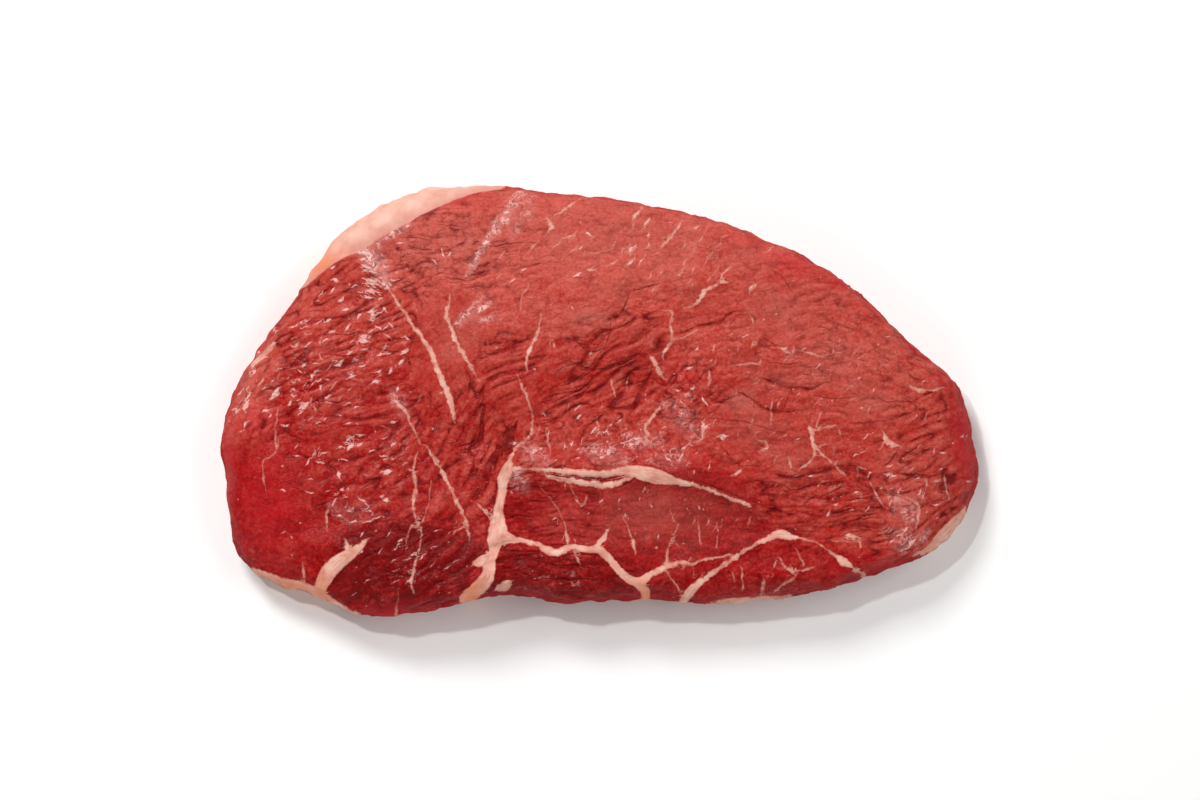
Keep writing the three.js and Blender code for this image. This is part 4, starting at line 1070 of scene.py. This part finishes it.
    # painted glints on wet ridges: the placed ones, and the crests of the fine folds wherever it is wet
    _, ridgeGlint, _ = lineMask("fleckLine", look["widened"]["fleck"])
    ridgeGlint = add("Math", [ridgeGlint, noises["crumb"]], operation="ADD")
    ridgeGlint = add("MapRange", [ridgeGlint, 0.98, 1.46, 0, 0.72])
    crestGlint = add("MapRange", [fold, 0.56, 0.66, 0, 0.7])
    kept = add("MapRange", [noises["glints"], 0.48, 0.6])
    damp = add("MapRange", [laid["wet"], 0.3, 0.95, 0.04, 1])
    for share in (kept, damp):
        crestGlint = add("Math", [crestGlint, share], operation="MULTIPLY")
    for glint in (ridgeGlint, crestGlint):
        filmAndGlints = add("Math", [filmAndGlints, glint], operation="MAXIMUM")
    whole = add("Math", [1, crease], operation="SUBTRACT")
    filmAndGlints = add("Math", [filmAndGlints, whole], operation="MULTIPLY")

    # the layers over the muscle: dust and painted light, flush and painted light on the rim, painted
    # highlights, painted shade, pinpricks, pits, and silver skin with painted glints
    for share, colour in (
            (dustAndLitShare, tint["dustyAndLit"]), (flushAndLit, tint["flushAndLit"]), (proud, highlightTint), (paintedShade, tint["crack"]),
            (prick, tint["fat"]), (pit, tint["crack"]), (filmAndGlints, tint["filmAndGlints"])):
        muscle = add("Mix", {0: share, 6: muscle, 7: colour}, data_type="RGBA", out=2)

    # fat: soft ragged edges, broken where it is thin, and split where a crease crosses it
    ragged = add("MapRange", [noises["ragged"], 0.25, 0.75, *look["widened"]["fat"]])
    out, fat, half = lineMask("fatLine", ragged)
    solid = add("MapRange", [half, 0.1, 0.5, 0.5, 1])
    broken = add("MapRange", [noises["broken"], 0.36, 0.52, 0.45, 1])
    broken = add("Math", [solid, broken], operation="MULTIPLY")
    thin = add("MapRange", [half, 0.3, 0.8, 1, 0])
    solid = add("Mix", {0: thin, 2: solid, 3: broken})
    split = add("Math", [crease, -0.9, 1], operation="MULTIPLY_ADD")
    for share in (solid, split):
        fat = add("Math", [fat, share], operation="MULTIPLY")

    # its colour: clouded, streaked along each seam, yellowed in places, and pink at the margin
    cloud = noises["cloud"]
    streak = add("CombineXYZ", [laid["fatRun"], out])
    streak = add("VectorMath", [streak, (0.35, 2.4, 0)], operation="MULTIPLY")
    streak = add("TexNoise", {"Vector": streak, "Scale": 1.0, "Detail": 1}, noise_dimensions="2D")
    narrow = add("MapRange", [half, 1.4, 4, 0.3, 0.1])
    calm = add("MapRange", [half, 2.4, 5, 0, 0.5])
    for share, other in ((narrow, streak), (calm, 0.6)):
        cloud = add("Mix", {0: share, 2: cloud, 3: other})
    cloud = add("MapRange", [cloud, 0.33, 0.66])
    fatColour = fatRamp = add("ValToRGB", [cloud])
    margin = add("MapRange", [half, 2, 5, -0.5, -3])
    inward = add("MapRange", [out, 0.1, margin, 0.6, 0])
    for share, colour in ((hues[0], tint["amber"]), (inward, tint["fatEdge"])):
        fatColour = add("Mix", {0: share, 6: fatColour, 7: colour}, data_type="RGBA", out=2)
    colour = add("Mix", {0: fat, 6: muscle, 7: fatColour}, data_type="RGBA", out=2)

    # a ramp starts with two stops, its ends, and the others are put in between
    for ramp, places in ((muscleRamp, look["muscleRamp"]), (fatRamp, look["fatRamp"])):
        stops = ramp.node.color_ramp.elements
        for number, (name, position) in enumerate(places.items()):
            stop = stops[number] if number < 2 else stops.new(position)
            stop.position, stop.color = position, tint[name]

    # relief finer than the mesh, in mm, more of it where the face is wet
    depth = add("MapRange", [laid["wet"], 0, 1, *look["foldDepth"]])
    fibre = add("TexNoise", {"Vector": bent, "Scale": 0.5 / look["fibreSpacing"], "Detail": 2})
    heights = look["relief"]
    relief = add("Math", [crack, heights["crack"]], operation="MULTIPLY")
    for layer, height in ((crease, heights["crease"]), (fold, depth), (filmAndGlints, heights["filmAndGlints"]),
                          (fibre, heights["fibre"]), (seam, heights["seam"])):
        relief = add("Math", [layer, height, relief], operation="MULTIPLY_ADD")
    lumps = add("Math", [cloud, heights["fat"]], operation="MULTIPLY")
    relief = add("Mix", {0: fat, 2: relief, 3: lumps})
    bump = add("Bump", {"Height": relief, "Distance": mm, "Strength": 1.0})

    # satin where it is dry, glossy where it is wet, and a little duller on the fat
    rimShine, dryShine, wetShine = look["roughness"]
    shine = add("MapRange", [laid["wet"], -0.6, 0, rimShine, dryShine])
    shine = add("Math", [laid["wet"], wetShine - dryShine, shine], operation="MULTIPLY_ADD")
    shine = add("Math", [shine, 0.78], operation="MINIMUM")
    shine = add("Math", [fat, 0.08, shine], operation="MULTIPLY_ADD")
    shader = add("BsdfPrincipled", {"Base Color": colour, "Roughness": shine, "Normal": bump,
                                    "IOR": 1.36, "Specular IOR Level": look["shine"]})
    add("OutputMaterial", [shader])
    return material


steak = modelSteak(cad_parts["steak"])
steak.data.materials.append(rawBeef())
print("  raw beef mixed")
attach(steak, "root")
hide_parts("steak")
print("steak made:", len(steak.data.polygons), "faces")


studio = {
    "elevation": 84, "lens": 85, "sensor": 36,          # degrees and mm
    "frameWidth": 0.3,                                  # m: as much as the view shows
    "aim": (0, 0, 0.011),                               # halfway up the rim
    "floorSize": 1.5, "floorColour": "#FAFAF9", "floorRoughness": 0.9, "floorShine": 0.1,
    "worldStrength": 0.12,
    # name: place and size in m, power in W
    "lights": {
        "keyBack": ((-0.35, 0.62, 0.75), 0.3, 7.0),
        "glint": ((-0.3, 0.25, 0.85), 0.04, 2.2),
        "fillRight": ((0.7, 0.15, 0.7), 0.6, 3.2),
        "fillFront": ((-0.2, -0.8, 0.6), 0.8, 3.0),
    },
}


def matteFloor():
    # matt lacquered board: one even pale tone with no shine
    material = bpy.data.materials.new("matteBoard")
    material.use_nodes = True
    shader = material.node_tree.nodes["Principled BSDF"]
    shader.inputs["Base Color"].default_value = linear(studio["floorColour"])
    shader.inputs["Roughness"].default_value = studio["floorRoughness"]
    shader.inputs["Specular IOR Level"].default_value = studio["floorShine"]
    return material


def placeInView(name, data, place=(0, 0, 0)):
    thing = bpy.data.objects.new(name, data)
    thing.location = place
    bpy.context.scene.collection.objects.link(thing)
    return thing


def aimAtSteak(thing):
    thing.rotation_euler = (Vector(studio["aim"]) - thing.location).to_track_quat("-Z", "Y").to_euler()


bm = bmesh.new()
bmesh.ops.create_grid(bm, x_segments=1, y_segments=1, size=studio["floorSize"])
floorMesh = bpy.data.meshes.new("floor")
bm.to_mesh(floorMesh)
bm.free()
floor = placeInView("floor", floorMesh)
floor.data.materials.append(matteFloor())

for name, (place, size, power) in studio["lights"].items():
    lamp = bpy.data.lights.new(name, "AREA")
    lamp.size, lamp.energy = size, power
    aimAtSteak(placeInView(name, lamp, place))

scene = bpy.context.scene
scene.world = bpy.data.worlds.new("studio")
scene.world.use_nodes = True
background = scene.world.node_tree.nodes["Background"]
background.inputs["Color"].default_value = (1, 1, 1, 1)
background.inputs["Strength"].default_value = studio["worldStrength"]

distance = studio["frameWidth"] * studio["lens"] / studio["sensor"]
lean = math.radians(studio["elevation"])
place = Vector(studio["aim"]) + distance * Vector((0, -math.cos(lean), math.sin(lean)))
scene.camera = placeInView("camera", bpy.data.cameras.new("camera"), place)
scene.camera.data.lens, scene.camera.data.sensor_width = studio["lens"], studio["sensor"]
aimAtSteak(scene.camera)
scene.view_settings.view_transform = "Standard"
print("studio set")
